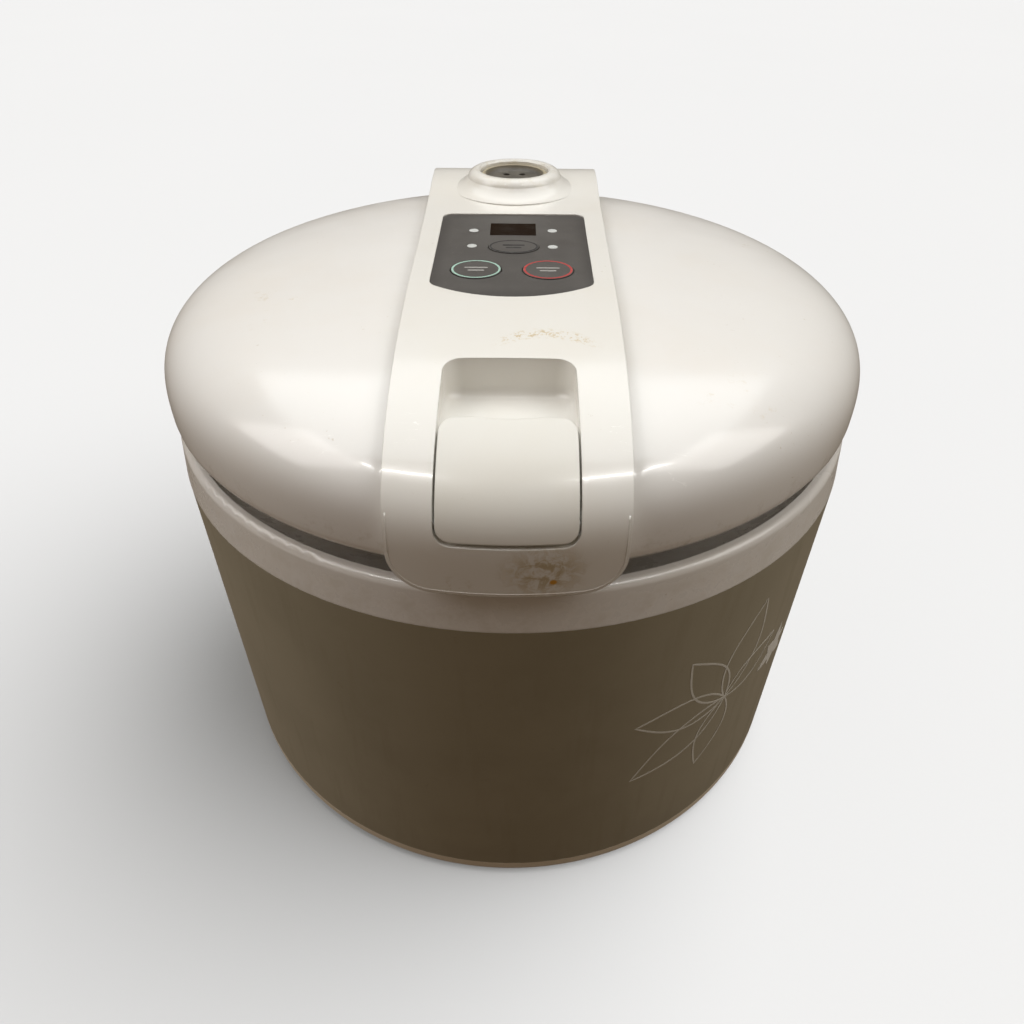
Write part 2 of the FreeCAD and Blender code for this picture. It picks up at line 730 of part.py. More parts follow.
def make_lid_shell():
    base, radius, wall = value("dome_base"), value("dome_radius"), value("dome_wall")
    lip = value("dome_lip")
    outer_turn = Part.Arc(FreeCAD.Vector(radius, 0, base), FreeCAD.Vector(radius - 0.9, 0, lip + 1.9),
                          FreeCAD.Vector(radius - 4.2, 0, lip)).toShape()
    inner_turn = Part.Arc(FreeCAD.Vector(radius - 5, 0, lip + wall),
                          FreeCAD.Vector(radius - 3.1, 0, lip + 3.2),
                          FreeCAD.Vector(radius - wall, 0, base)).toShape()
    under = lines(FreeCAD.Vector(radius - 4.2, 0, lip), FreeCAD.Vector(124, 0, lip - 0.3),
                  FreeCAD.Vector(124, 0, lip + wall - 0.3), FreeCAD.Vector(radius - 5, 0, lip + wall))
    close = lines(FreeCAD.Vector(radius - wall, 0, base), FreeCAD.Vector(radius, 0, base))
    rim = chain([outer_turn, inner_turn] + under + close)
    shell = dome_solid(0, base).cut(dome_solid(wall, base - 1))
    shell = shell.fuse(rim.revolve(FreeCAD.Vector(), FreeCAD.Vector(0, 0, 1), 360))
    inside = dome_solid(wall / 2, 150)
    for across, back in LID_SCREWS[:4]:
        shell = shell.fuse(post(across, back, 4, 168, 230).common(inside))
    for across, back in LID_SCREWS[:4]:
        shell = shell.cut(post(across, back, 1.8, 160, 190))
    for opening in (
        block((-31, -150, 178), (31, -84, 230)),
        block((-7.5, -134, 160), (7.5, -114, 230)),
        block((-36.6, 98, 150), (36.6, 150, 230)),
        block((-29.4, -44, 190), (29.4, 35, 230)),
        post(0, value("vent_y"), 15, 190, 230),
    ):
        shell = shell.cut(opening)
    shaped("lid_shell", shell.removeSplitter())


def vent_collar():
    """The raised ring around the steam vent, with the ledge that the cap sits on."""
    bore, collar, top = value("vent_bore"), value("vent_collar"), value("vent_top")
    ledge, hole = value("vent_ledge"), value("vent_bore - vent_ledge_width")
    corners = [(hole, ledge - 1.7), (hole, ledge), (bore, ledge), (bore, top - 0.8), (bore + 0.8, top),
               (bore + 2.2, top)]
    points = [FreeCAD.Vector(out, 0, up) for out, up in corners]
    shoulder = Part.Arc(points[-1], FreeCAD.Vector(bore + 4.6, 0, top - 1),
                        FreeCAD.Vector(collar, 0, top - 3)).toShape()
    skirt = Part.Arc(FreeCAD.Vector(collar, 0, top - 3), FreeCAD.Vector(collar + 3, 0, top - 5.6),
                     FreeCAD.Vector(collar + 8, 0, top - 7.4)).toShape()
    foot = lines(FreeCAD.Vector(collar + 8, 0, top - 7.4), FreeCAD.Vector(collar + 8, 0, top - 9),
                 points[0])
    ring = chain(lines(*points) + [shoulder, skirt] + foot)
    ring = ring.revolve(FreeCAD.Vector(), FreeCAD.Vector(0, 0, 1), 360)
    ring.translate(FreeCAD.Vector(0, value("vent_y"), 0))
    return ring


def make_spine_cover():
    wall = value("band_wall")
    outer = band_solid(0).common(band_plan(0, 150, 240))
    inner = band_solid(wall).common(band_plan(wall, 150, 240))
    inner = inner.fuse(block((-30, -134, 160), (30, 134, 180)))
    for cut in skirt_corners(0, 12):
        outer = outer.cut(cut)
    for cut in skirt_corners(wall, 9.6):
        inner = inner.cut(cut)
    full = outer.copy()
    cover = outer.cut(inner).cut(dome_solid(-0.1, 150))

    cover = cover.fuse(vent_collar())
    rear, floor, slot = value("latch_rear"), value("recess_floor"), value("latch_half_width + latch_gap")
    under, tub_half, tub_rear = floor - TUB_WALL, slot + TUB_WALL, value("recess_rear") + TUB_WALL
    tub = across_prism([(-137, 182.4), (-137, 230), (tub_rear, 230), (tub_rear, under + 3),
                        (tub_rear - 3, under), (rear + 0.6, under), (-118, 182.4)], tub_half)
    cover = cover.fuse(tub.common(full))
    for across, back in BOARD_SCREWS:
        cover = cover.fuse(post(across, back, 2.5, value("control_board_top"), 215.2))
    recess = block((-slot, rear - 1.5, floor), (slot, value("recess_rear"), 230))
    recess = round_upright(recess, value("recess_corner"), lambda edge: edge.BoundBox.YMin > rear)
    recess = recess.makeFillet(value("recess_hollow"), [
        edge for edge in recess.Edges if edge.BoundBox.ZMax < floor + 0.01 and edge.BoundBox.YMax > rear])
    well_bottom = value("latch_bottom") - WELL_MARGIN
    well = across_prism([(-150, well_bottom), (-150, 230), (rear, 230), (rear, floor), (-119.4, 184.2),
                         (WELL_STEP, 184.2), (WELL_STEP, well_bottom)], slot)
    for corner in low_corners(slot, well_bottom, value("latch_corner + latch_gap"), WELL_STEP):
        well = well.cut(corner)
    for cut in (
        recess,
        well,
        block((-8, WELL_STEP, 170), (8, -119.5, 190)),
        rod(*PIVOT, value("latch_pin_radius"), -30, 30),
        post(0, value("vent_y"), value("vent_bore"), value("vent_ledge"), 240),
        post(0, value("vent_y"), value("vent_bore - vent_ledge_width"), 200, 240),
        panel_plan(190, 240).cut(band_solid(1.6)),
        block((-23, -38, 190), (23, 30, 240)),
    ) + tuple(post(across, back, 1.2, 200, 213.5) for across, back in BOARD_SCREWS):
        cover = cover.cut(cut)
    shaped("spine_cover", cover.removeSplitter())


def make_latch():
    width = value("latch_half_width")
    skin = band_solid(0).cut(band_solid(value("latch_gauge")))
    rear, ledge = value("latch_rear"), value("hook_ledge")
    plan = round_upright(prism([(-width, -150), (width, -150), (width, rear), (-width, rear)],
                               value("latch_bottom"), 240), 4.5, lambda edge: edge.BoundBox.YMin > -130)
    plate = skin.common(plan).cut(post(0, rear + 60, 60.8, 150, 240))
    for corner in low_corners(width, value("latch_bottom"), value("latch_corner")):
        plate = plate.cut(corner)
    arm = across_prism([(-136.6, 187.2), (-136.6, 191.4), (-130.6, 191.4), (-128.4, 186), (-123.2, ledge),
                        (-123.2, value("hook_bottom")), (-126.5, value("hook_bottom")), (-126.5, ledge),
                        (-125.9, ledge + 0.6), (-131, 185.6), (-131.4, 187.2)], 5)
    lever = plate.fuse(arm)
    for side in (-1, 1):
        start, end = sorted((side * 12, side * 16))
        lever = lever.fuse(rod(*PIVOT, 2.6, start, end))
        lever = lever.fuse(block((start, -136.6, PIVOT[1] - 1.6), (end, PIVOT[0], PIVOT[1] + 1.6)))
    bore = rod(*PIVOT, value("latch_pin_radius + 0.05"), -30, 30)
    shaped("latch_lever", lever.cut(bore).removeSplitter())

    pin = new_body("latch_pin")
    pad(pin, "YZ_Plane", [("latch_pivot_y", "latch_pivot_z", "latch_pin_radius")], "43.6")
    spring = Part.Wire(Part.makeHelix(0.8, 4.4, 2.1))
    section = Part.Wire(Part.Circle(FreeCAD.Vector(2.1, 0, 0), FreeCAD.Vector(0, 1, 0), 0.3).toShape())
    turn = spring.makePipeShell([section], True, True)
    turn.rotate(FreeCAD.Vector(), FreeCAD.Vector(0, 1, 0), 90)
    turn.translate(FreeCAD.Vector(6.3, *PIVOT))
    shaped("latch_spring", turn)


# ---- lid: controls --------------------------------------------------------------------------


def make_controls():
    gauge = value("panel_gauge")
    sheet_top, sheet_bottom = band_solid(0.4), band_solid(0.4 + gauge)
    panel = sheet_top.cut(sheet_bottom).common(panel_plan(200, 240))
    for across, back, half_width, half_depth in KEYS.values():
        panel = panel.cut(oval(across, back, half_width + 0.3, half_depth + 0.3, 200, 240))
    for across, back in LIGHTS:
        panel = panel.cut(post(across, back, 2, 200, 240))
    panel = panel.cut(window_plan(0, 200, 240))
    shaped("control_panel", panel)

    window = sheet_top.cut(band_solid(1.4)).common(window_plan(0, 200, 240))
    shaped("display_window", window)
    key_body = band_solid(0.15).cut(band_solid(0.15 + value("key_height")))
    for label, plan in KEYS.items():
        shaped(label, key_body.common(oval(*plan, 200, 240)))
    under = value("control_board_top")
    pipes = [post(across, back, 1.9, under, 240).common(band_solid(0.3)) for across, back in LIGHTS]
    shaped("indicator_leds", Part.makeCompound(pipes))

    board = slab("control_board", [box("-28.4", "-40", "28.4", "31")],
                 "control_board_bottom", "control_board_top")
    holes = [(str(across), str(back), "1.2") for across, back in BOARD_SCREWS]
    pocket(board, "XY_Plane", holes, "8", "control_board_bottom + 0.8")
    screws = slab("board_screws", holes, "control_board_bottom", "control_board_bottom + 6")
    heads = [(across, back, "2.4") for across, back, _ in holes]
    pad(screws, "XY_Plane", heads, "1.4", "control_board_bottom - 0.7")
    slab("display_module", [box("-11", "9.6", "11", "28.4")], "control_board_top", "214.2")
    places = [(across, back) for across, back, _, _ in KEYS.values()]
    switches = slab("tact_switches", [box(str(across - 3), str(back - 3), str(across + 3), str(back + 3))
                                      for across, back in places], "control_board_top", "211.4")
    pad(switches, "XY_Plane", [(str(across), str(back), "1.7") for across, back in places], "1.6", "211.6")


# ---- lid: inside ----------------------------------------------------------------------------


def make_lid_inside():
    screws = [(str(across), str(back), "lid_screw_radius") for across, back in LID_SCREWS]
    frame = turned("lid_base", [
        ("3", "lid_base_bottom"),
        ("112.5", "lid_base_bottom"),
        ("116.4", "lid_base_top"),
        ("123.8", "170"),
        ("123.8", "173"),
        ("121.4", "173"),
        ("121.4", "172"),
        ("115.4", "170.4"),
        ("111.6", "lid_base_top"),
        ("3", "lid_base_top"),
    ])
    pocket(frame, "XY_Plane", screws + [("0", "vent_y", "10")], "60", "160")
    pocket(frame, "XY_Plane", [box("-17", "104", "17", "114.4")], "60", "160")
    pocket(frame, "XY_Plane", [box("-36.6", "114.4", "36.6", "130")], "60", "160")
    pocket(frame, "XY_Plane", [box("-7.5", "-134", "7.5", "-114.8")], "60", "160")
    bolts = slab("lid_screws", screws, "lid_base_bottom", "176")
    heads = [(across, back, "3.4") for across, back, _ in screws]
    pad(bolts, "XY_Plane", heads, "1.2", "lid_base_bottom - 0.6")

    hinge = new_body("lid_hinge_frame")
    arm = [("92.5", "lid_base_top"), ("104.5", "lid_base_top"), ("109", "173.4"), ("120", "173.4"),
           ("120", "181"), ("111", "181"), ("102.5", "lid_base_top + 2.8"), ("92.5", "lid_base_top + 2.8")]
    pad(hinge, "YZ_Plane", [arm], "knuckle_outer * 2")
    pad(hinge, "YZ_Plane", [("hinge_y", "hinge_z", "hinge_drum")], "knuckle_outer * 2")
    pocket(hinge, "XY_Plane", [box("-knuckle_inner", "99", "knuckle_inner", "140")], "60", "175")
    spring_room = ("hinge_y", "hinge_z", "hinge_drum - 1.6")
    for side in ("-", ""):
        pocket(hinge, "YZ_Plane", [spring_room], "12.6", side + "hinge_spring_centre")
    pocket(hinge, "YZ_Plane", [("hinge_y", "hinge_z", "hinge_pin_radius + 0.05")], "100")
    pocket(hinge, "XY_Plane", screws[4:], "20", "169")

    plate = turned("inner_lid_plate", [
        ("3", "inner_lid_bottom"),
        ("95", "inner_lid_bottom"),
        ("99", "inner_lid_bottom + inner_lid_gauge"),
        ("109", "inner_lid_bottom + inner_lid_gauge"),
        ("109", "inner_lid_bottom + inner_lid_gauge * 2"),
        ("98.6", "inner_lid_bottom + inner_lid_gauge * 2"),
        ("94.6", "inner_lid_bottom + inner_lid_gauge"),
        ("3", "inner_lid_bottom + inner_lid_gauge"),
    ])
    pocket(plate, "XY_Plane", [("0", "vent_y", "9")], "20", "inner_lid_bottom")
    turned("inner_lid_gasket", [
        ("106.5", "161.4"),
        ("112.6", "158.4"),
        ("113.6", "158.4"),
        ("113.6", "159.6"),
        ("110.6", "162"),
        ("110.6", "165.2"),
        ("106.5", "165.2"),
        ("106.5", "164"),
        ("109", "164"),
        ("109", "163"),
        ("106.5", "163"),
    ])
    turned("inner_lid_knob", [
        ("0", "156.4"),
        ("7.6", "156.4", "1.6"),
        ("9.2", "158"),
        ("9.2", "inner_lid_bottom"),
        ("3", "inner_lid_bottom"),
        ("3", "lid_base_top"),
        ("0", "lid_base_top"),
    ])
    turned("lid_heater", box("18", "lid_base_top", "54", "lid_base_top + 0.8"))
    turned("steam_grommet", [
        ("7", "160.8"),
        ("11", "160.8"),
        ("11", "inner_lid_bottom"),
        ("9", "inner_lid_bottom"),
        ("9", "inner_lid_bottom + inner_lid_gauge"),
        ("12", "inner_lid_bottom + inner_lid_gauge"),
        ("12", "lid_base_bottom"),
        ("7", "lid_base_bottom"),
    ], back="vent_y")
    turned("vent_tube", [
        ("11", "lid_base_top"),
        ("16", "lid_base_top"),
        ("16", "lid_base_top + 2"),
        ("13", "lid_base_top + 2"),
        ("13", "vent_ledge - 1.7"),
        ("11", "vent_ledge - 1.7"),
    ], back="vent_y")
    cap = turned("steam_cap", [
        ("0", "vent_ledge + 0.4"),
        ("vent_bore - 0.4", "vent_ledge + 0.4"),
        ("vent_bore - 0.4", "vent_top - 2.6", "0.8"),
        ("vent_bore - 1.2", "vent_top - 1.8"),
        ("vent_bore - 2.4", "vent_top - 1.8", "-2.6"),
        ("vent_bore - 4.4", "vent_top - 4"),
        ("0", "vent_top - 4.6"),
    ], back="vent_y")
    pocket(cap, "XY_Plane", [("7.4", "0", "1.5")], "60", "220")
    around(cap, 6)
    basket = turned("steam_cap_base", [
        ("0", "202"),
        ("10.6", "202"),
        ("10.6", "vent_ledge + 0.4"),
        ("9.4", "vent_ledge + 0.4"),
        ("9.4", "203.2"),
        ("0", "203.2"),
    ], back="vent_y")
    pocket(basket, "XY_Plane", [("5.4", "0", "1.3")], "10", "202")
    around(basket, 5)


make_lid_shell()
make_spine_cover()
make_latch()
make_controls()
make_lid_inside()

# ---- check and write ------------------------------------------------------------------------

doc.recompute()
for item in doc.Objects:
    if {"Invalid", "Error"} & set(item.State):
        raise RuntimeError("%s is %s" % (item.Label, item.State))
for label, piece in PIECES.items():
    if piece.Shape.isNull() or not piece.Shape.isValid() or not piece.Shape.Solids:
        raise RuntimeError("%s has no valid solid" % label)

os.makedirs("parts", exist_ok=True)
for label, piece in PIECES.items():
    piece.Shape.exportStep("parts/%s.step" % label)
    print("%-20s %2d solid %10.1f mm3" % (label, len(piece.Shape.Solids), piece.Shape.Volume))
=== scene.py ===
import json
import math

import bmesh
import bpy
from mathutils import Matrix, Vector


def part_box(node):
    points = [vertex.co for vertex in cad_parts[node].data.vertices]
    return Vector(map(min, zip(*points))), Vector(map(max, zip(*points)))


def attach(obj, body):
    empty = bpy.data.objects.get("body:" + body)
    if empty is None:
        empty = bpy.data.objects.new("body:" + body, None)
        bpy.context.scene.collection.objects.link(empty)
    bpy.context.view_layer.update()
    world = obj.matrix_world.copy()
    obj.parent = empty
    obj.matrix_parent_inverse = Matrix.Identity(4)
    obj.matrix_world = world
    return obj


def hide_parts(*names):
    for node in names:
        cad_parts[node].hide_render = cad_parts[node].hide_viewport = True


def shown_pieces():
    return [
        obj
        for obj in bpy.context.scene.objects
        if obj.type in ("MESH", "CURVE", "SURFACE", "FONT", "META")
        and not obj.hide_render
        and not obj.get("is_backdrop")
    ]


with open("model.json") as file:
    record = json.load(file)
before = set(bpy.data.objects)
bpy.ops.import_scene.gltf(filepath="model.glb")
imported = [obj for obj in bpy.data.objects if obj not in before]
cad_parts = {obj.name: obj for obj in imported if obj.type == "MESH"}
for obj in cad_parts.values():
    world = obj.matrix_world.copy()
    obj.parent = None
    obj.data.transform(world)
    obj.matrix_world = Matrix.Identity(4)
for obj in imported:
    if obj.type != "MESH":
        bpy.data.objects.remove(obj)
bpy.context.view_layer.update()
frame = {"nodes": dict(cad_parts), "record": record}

MM = 0.001
MICROMETRE = 1e-6
DOUBLES_APART = 1e-7
FLOOR_SIDE = 60.0

# The lid's curves, as in the CAD model: a superellipse dome and a centre band across it.
DOME_RADIUS, DOME_BASE, DOME_RISE = 133.5, 176.75, 35.4
DOME_FLATNESS, DOME_SHOULDER, DOME_WALL = 3.589, 3.319, 2.4
BAND_HALF, BAND_TAPER = 36.5, 0.0275
BAND_FLAT, BAND_FRONT, BAND_BASE, BAND_RISE = 40.0, 138.4, 178.5, 38.0
BAND_FLATNESS, BAND_SHOULDER = 2.234, 3.0
SHELL_RADIUS = 135.0

# How far printed ink goes under a key's face and stands above it, and stands off the body's sheet.
INK_SUNK, INK_PROUD, PRINT_PROUD = 0.02, 0.05, 0.06


# ---- shader helpers ---------------------------------------------------------------------------


class Look:
    """A procedural material: short calls add its shader nodes and wire them."""

    def __init__(self, name, **sockets):
        self.material = bpy.data.materials.new(name)
        self.material.use_nodes = True
        self.tree = self.material.node_tree
        self.shader = self.tree.nodes["Principled BSDF"]
        self.place = self.node("ShaderNodeTexCoord").outputs["Object"]
        for socket, setting in sockets.items():
            self.shader.inputs[socket.replace("_", " ")].default_value = setting

    def node(self, kind, wires=None, **settings):
        made = self.tree.nodes.new(kind)
        for key, setting in settings.items():
            setattr(made, key, setting)
        for socket, source in (wires or {}).items():
            self.feed(made.inputs[socket], source)
        return made

    def feed(self, socket, source):
        if isinstance(source, bpy.types.NodeSocket):
            self.tree.links.new(source, socket)
        else:
            socket.default_value = source

    def maths(self, operation, *terms):
        return self.node("ShaderNodeMath", dict(enumerate(terms)), operation=operation).outputs[0]

    def times(self, first, second):
        return self.maths("MULTIPLY", first, second)

    def plus(self, first, second):
        return self.maths("ADD", first, second)

    def either(self, first, second):
        """The stronger of two shares."""
        return self.maths("MAXIMUM", first, second)

    def noise(self, size, detail=3.0, roughness=0.55, stretch=(1, 1, 1), warp=0.0):
        """Noise from 0 to 1 whose blots are about a size across, in millimetres."""
        mapping = self.node("ShaderNodeMapping", {"Vector": self.place})
        mapping.inputs["Scale"].default_value = [1 / (size * MM * part) for part in stretch]
        wires = {"Vector": mapping.outputs[0], "Scale": 1.0, "Detail": detail, "Roughness": roughness,
                 "Distortion": warp}
        return self.node("ShaderNodeTexNoise", wires).outputs[0]

    def ease(self, value, low, high, start=0.0, end=1.0):
        """The value's way from low to high, eased, as a number from start to end."""
        wires = {"Value": value, "From Min": low, "From Max": high, "To Min": start, "To Max": end}
        return self.node("ShaderNodeMapRange", wires, interpolation_type="SMOOTHSTEP").outputs[0]

    def mix(self, share, first, second):
        made = self.node("ShaderNodeMix", data_type="RGBA")
        self.feed(made.inputs[0], share)
        self.feed(made.inputs[6], first)
        self.feed(made.inputs[7], second)
        return made.outputs[2]

    def stain(self, body, share, strength, colour):
        """The body's colour, covered where the share is 1 by a colour of the given strength."""
        return self.mix(self.times(share, strength), body, colour)

    def spot(self, centre, reach, core=0.3):
        """1 in the middle of an ellipsoid, easing to 0 at its surface. Sizes in millimetres."""
        mapping = self.node("ShaderNodeMapping", {"Vector": self.place})
        mapping.inputs["Location"].default_value = [-mid / far for mid, far in zip(centre, reach)]
        mapping.inputs["Scale"].default_value = [1 / (far * MM) for far in reach]
        length = self.node("ShaderNodeVectorMath", {0: mapping.outputs[0]}, operation="LENGTH")
        return self.ease(length.outputs["Value"], core, 1.0, 1.0, 0.0)

    def axes(self):
        """Across, back and up, in metres."""
        return self.node("ShaderNodeSeparateXYZ", {0: self.place}).outputs

    def out_from_axis(self, across, back):
        """How far a point lies from the upright axis through the origin, in metres."""
        return self.maths("SQRT", self.plus(self.times(across, across), self.times(back, back)))

    def finish(self, colour, roughness, height, depth, edge=0.5):
        """Wires the shader. Height, from 0 to 1, stands depth micrometres tall; edges look rounded."""
        self.feed(self.shader.inputs["Base Color"], colour)
        self.feed(self.shader.inputs["Roughness"], roughness)
        rounded = self.node("ShaderNodeBevel", {"Radius": edge * MM}, samples=4)
        wires = {"Height": height, "Distance": depth * MICROMETRE, "Strength": 1.0,
                 "Normal": rounded.outputs[0]}
        bump = self.node("ShaderNodeBump", wires)
        self.feed(self.shader.inputs["Normal"], bump.outputs[0])
        return self.material


def tone(red, green, blue):
    return (red, green, blue, 1.0)


def shade(colour, factor):
    return tone(*(min(1.0, part * factor) for part in colour[:3]))


# ---- materials --------------------------------------------------------------------------------


def moulding(name, colour, aged, rough=0.22, marks=None, **sockets):
    """Glossy moulded plastic: slow yellowing, handling smudges, dust specks and fine orange peel."""
    speck_colour, speck_strength = tone(0.46, 0.36, 0.22), 0.35
    smudge_rough, peel_depth = 0.05, 14
    look = Look(name, **{"Coat_Weight": 0.25, "Coat_Roughness": 0.08, "IOR": 1.5, **sockets})
    clouds = look.noise(60, 4, 0.6)
    body = look.mix(look.ease(clouds, 0.42, 0.75, 0.0, 0.5), colour, aged)
    specks = look.times(look.ease(look.noise(1.6, 2), 0.69, 0.76), look.ease(look.noise(28, 2), 0.5, 0.68))
    body = look.stain(body, specks, speck_strength, speck_colour)
    smudges = look.ease(look.noise(22, 2, 0.5), 0.35, 0.7)
    roughness = look.plus(rough, look.times(smudges, smudge_rough))
    if marks:
        body, roughness = marks(look, body, roughness)
    peel = look.plus(look.times(look.noise(1.3, 2), 0.55), look.times(look.noise(9, 2), 0.45))
    return look.finish(body, roughness, peel, peel_depth)


def dome_marks(look, body, roughness):
    """Faint yellow blots on the dome, rougher scuffs on its front shoulder painted whiter as highlight
    streaks, and darker patches low on the rim.
    """
    blot_colour, low_patch_colour = tone(0.62, 0.50, 0.30), tone(0.40, 0.33, 0.22)
    painted_glint_colour = tone(0.97, 0.96, 0.93)
    rim_low, rim_high = 0.176, 0.186
    blots = look.ease(look.noise(7, 5, 0.7), 0.58, 0.72)
    zones = look.either(look.spot((70, -92, 205), (26, 16, 14)), look.spot((-86, -40, 210), (20, 26, 12)))
    zones = look.either(zones, look.spot((104, 20, 207), (24, 22, 12)))
    body = look.stain(body, look.times(blots, zones), 0.35, blot_colour)
    # Painted highlight: whiter streaks on the front shoulder, which are also rougher there.
    scuffs_and_glints = look.ease(look.noise(3.2, 5, 0.75, stretch=(3, 0.5, 1), warp=1.0), 0.60, 0.68)
    shoulder = look.either(look.spot((46, -119, 200), (12, 9, 9)), look.spot((-62, -110, 202), (26, 10, 8)))
    scuffs_and_glints = look.times(scuffs_and_glints, shoulder)
    body = look.stain(body, scuffs_and_glints, 0.6, painted_glint_colour)
    low = look.ease(look.axes()[2], rim_low, rim_high, 1.0, 0.0)
    low_patches = look.times(low, look.ease(look.noise(5, 4, 0.7), 0.5, 0.75))
    body = look.stain(body, low_patches, 0.3, low_patch_colour)
    return body, look.plus(roughness, look.times(scuffs_and_glints, 0.2))


def band_marks(look, body, roughness):
    """Spilt starch: a brown blotch low on the skirt, a speckled arch behind the finger recess, and rougher
    scuffs painted whiter as highlight streaks.
    """
    blotch_colour, left_colour = tone(0.45, 0.34, 0.16), tone(0.50, 0.42, 0.28)
    drop_colour, arch_colour = tone(0.62, 0.30, 0.03), tone(0.60, 0.45, 0.20)
    painted_glint_colour, collar_colour = tone(0.99, 0.98, 0.95), tone(0.63, 0.55, 0.38)
    blotch = look.times(look.spot((10, -137, 177), (15, 12, 12), 0.2),
                        look.ease(look.noise(3.4, 6, 0.72, warp=0.8), 0.41, 0.58))
    body = look.stain(body, blotch, 0.75, blotch_colour)
    left = look.times(look.spot((-14, -137, 171), (12, 10, 6), 0.1),
                      look.ease(look.noise(3.0, 5, 0.7), 0.5, 0.68))
    body = look.stain(body, left, 0.35, left_colour)
    body = look.mix(look.spot((12.6, -137.6, 173.4), (1.3, 3, 1.1), 0.5), body, drop_colour)

    arch_middle, arch_half, arch_back, arch_sag = 0.011, 0.016, -0.0735, 0.006
    line_core, line_edge = 0.0008, 0.0036
    across, back, _ = look.axes()
    away = look.maths("DIVIDE", look.maths("SUBTRACT", across, arch_middle), arch_half)
    arch = look.maths("SUBTRACT", back, arch_back)
    arch = look.plus(arch, look.times(look.times(away, away), arch_sag))
    arch = look.ease(look.maths("ABSOLUTE", arch), line_core, line_edge, 1.0, 0.0)
    arch = look.times(arch, look.ease(look.maths("ABSOLUTE", away), 0.5, 1.1, 1.0, 0.0))
    arch = look.times(arch, look.ease(look.noise(1.8, 5, 0.75), 0.50, 0.60))
    body = look.stain(body, arch, 0.7, arch_colour)

    # Painted highlight: whiter streaks on the band either side of the latch, which are also rougher there.
    scuffs_and_glints = look.ease(look.noise(2.4, 5, 0.75, stretch=(2.4, 0.6, 1), warp=1.2), 0.58, 0.66)
    zones = look.either(look.spot((-27, -114, 206), (6, 7, 7)), look.spot((29.5, -117, 205), (5, 9, 8)))
    scuffs_and_glints = look.times(scuffs_and_glints, zones)
    body = look.stain(body, scuffs_and_glints, 0.85, painted_glint_colour)
    collar = look.times(look.spot((0, 76, 222), (25, 25, 9), 0.7),
                        look.ease(look.noise(6, 5, 0.7), 0.46, 0.66))
    body = look.stain(body, collar, 0.35, collar_colour)
    return body, look.plus(roughness, look.times(look.plus(blotch, scuffs_and_glints), 0.22))


def ring_painted_shade(look, body, roughness):
    """Painted shade under the lid's overhang: the ring darker, in patches, below its ledge, and rougher
    there.
    """
    ledge_low, ledge_high, low_patch_colour = 0.158, 0.163, tone(0.50, 0.44, 0.34)
    # Painted shade: darker below the ledge, where the lid overhangs the ring.
    ledge = look.ease(look.axes()[2], ledge_low, ledge_high, 1.0, 0.0)
    low_patches = look.times(ledge, look.ease(look.noise(8, 5, 0.7), 0.4, 0.7))
    body = look.stain(body, low_patches, 0.25, low_patch_colour)
    return body, look.plus(roughness, look.times(low_patches, 0.2))


def white_shell():
    return moulding("white_shell", tone(0.86, 0.845, 0.815), tone(0.84, 0.80, 0.74), 0.2, dome_marks)


def cream_shell():
    return moulding("cream_shell", tone(0.85, 0.835, 0.79), tone(0.83, 0.795, 0.72), 0.2, band_marks)


def latch_plastic():
    return moulding("latch_plastic", tone(0.815, 0.80, 0.745), tone(0.79, 0.76, 0.67), 0.30,
                    Coat_Weight=0.05)


def ring_plastic():
    return moulding("ring_plastic", tone(0.83, 0.81, 0.775), tone(0.80, 0.76, 0.69), 0.24, ring_painted_shade)


def body_sheet():
    """Satin taupe printed sheet: fine grain, slow mottling, faint upright wipe marks, dark scuffs."""
    taupe, taupe_dark = tone(0.335, 0.300, 0.212), tone(0.300, 0.268, 0.186)
    grain_light, wipe_colour = tone(0.40, 0.36, 0.27), tone(0.24, 0.21, 0.14)
    rub_colour, foot_colour = tone(0.20, 0.17, 0.11), tone(0.22, 0.19, 0.14)
    foot_low, foot_high = 0.009, 0.03
    look = Look("body_sheet", Metallic=0.0, IOR=1.45, Coat_Weight=0.15, Coat_Roughness=0.25)
    colour = look.mix(look.ease(look.noise(45, 4), 0.35, 0.7), taupe, taupe_dark)
    fine = look.noise(0.5, 2, 0.6)
    colour = look.mix(look.ease(fine, 0.3, 0.8, 0.0, 0.12), colour, grain_light)
    wipes = look.ease(look.noise(7, 4, 0.6, stretch=(1, 1, 9)), 0.5, 0.75)
    colour = look.stain(colour, wipes, 0.12, wipe_colour)
    rub = look.times(look.ease(look.noise(4, 5, 0.7, warp=0.7), 0.64, 0.74), 0.3)
    colour = look.mix(rub, colour, rub_colour)
    low = look.ease(look.axes()[2], foot_low, foot_high, 1.0, 0.0)
    colour = look.stain(colour, look.times(low, look.noise(6, 4)), 0.3, foot_colour)
    roughness = look.plus(0.38, look.times(wipes, 0.12))
    height = look.plus(look.times(fine, 0.4), look.times(look.noise(14, 3), 0.6))
    return look.finish(colour, roughness, height, 18)


def satin(name, colour, worn, rough, grain=0.4, depth=10, metallic=0.0, streak=(1, 1, 1), **sockets):
    """A plain technical surface: mottled colour, wear blots, grain of a given size in millimetres."""
    look = Look(name, Metallic=metallic, **sockets)
    mottle = look.ease(look.noise(22, 4), 0.35, 0.7)
    base = look.stain(colour, mottle, 0.5, worn)
    blots = look.ease(look.noise(4.5, 5, 0.7, warp=0.5), 0.60, 0.72)
    base = look.stain(base, blots, 0.35, worn)
    fine = look.noise(grain, 3, 0.6, stretch=streak)
    base = look.mix(look.ease(fine, 0.3, 0.8, 0.0, 0.15), base, shade(colour, 1.25))
    roughness = look.plus(rough - 0.05, look.times(mottle, 0.12))
    roughness = look.plus(roughness, look.times(fine, 0.06))
    return look.finish(base, roughness, fine, depth)


def metal(name, colour, worn, rough, streak=(1, 1, 1), grain=0.5):
    return satin(name, colour, worn, rough, grain, 6, 1.0, streak)


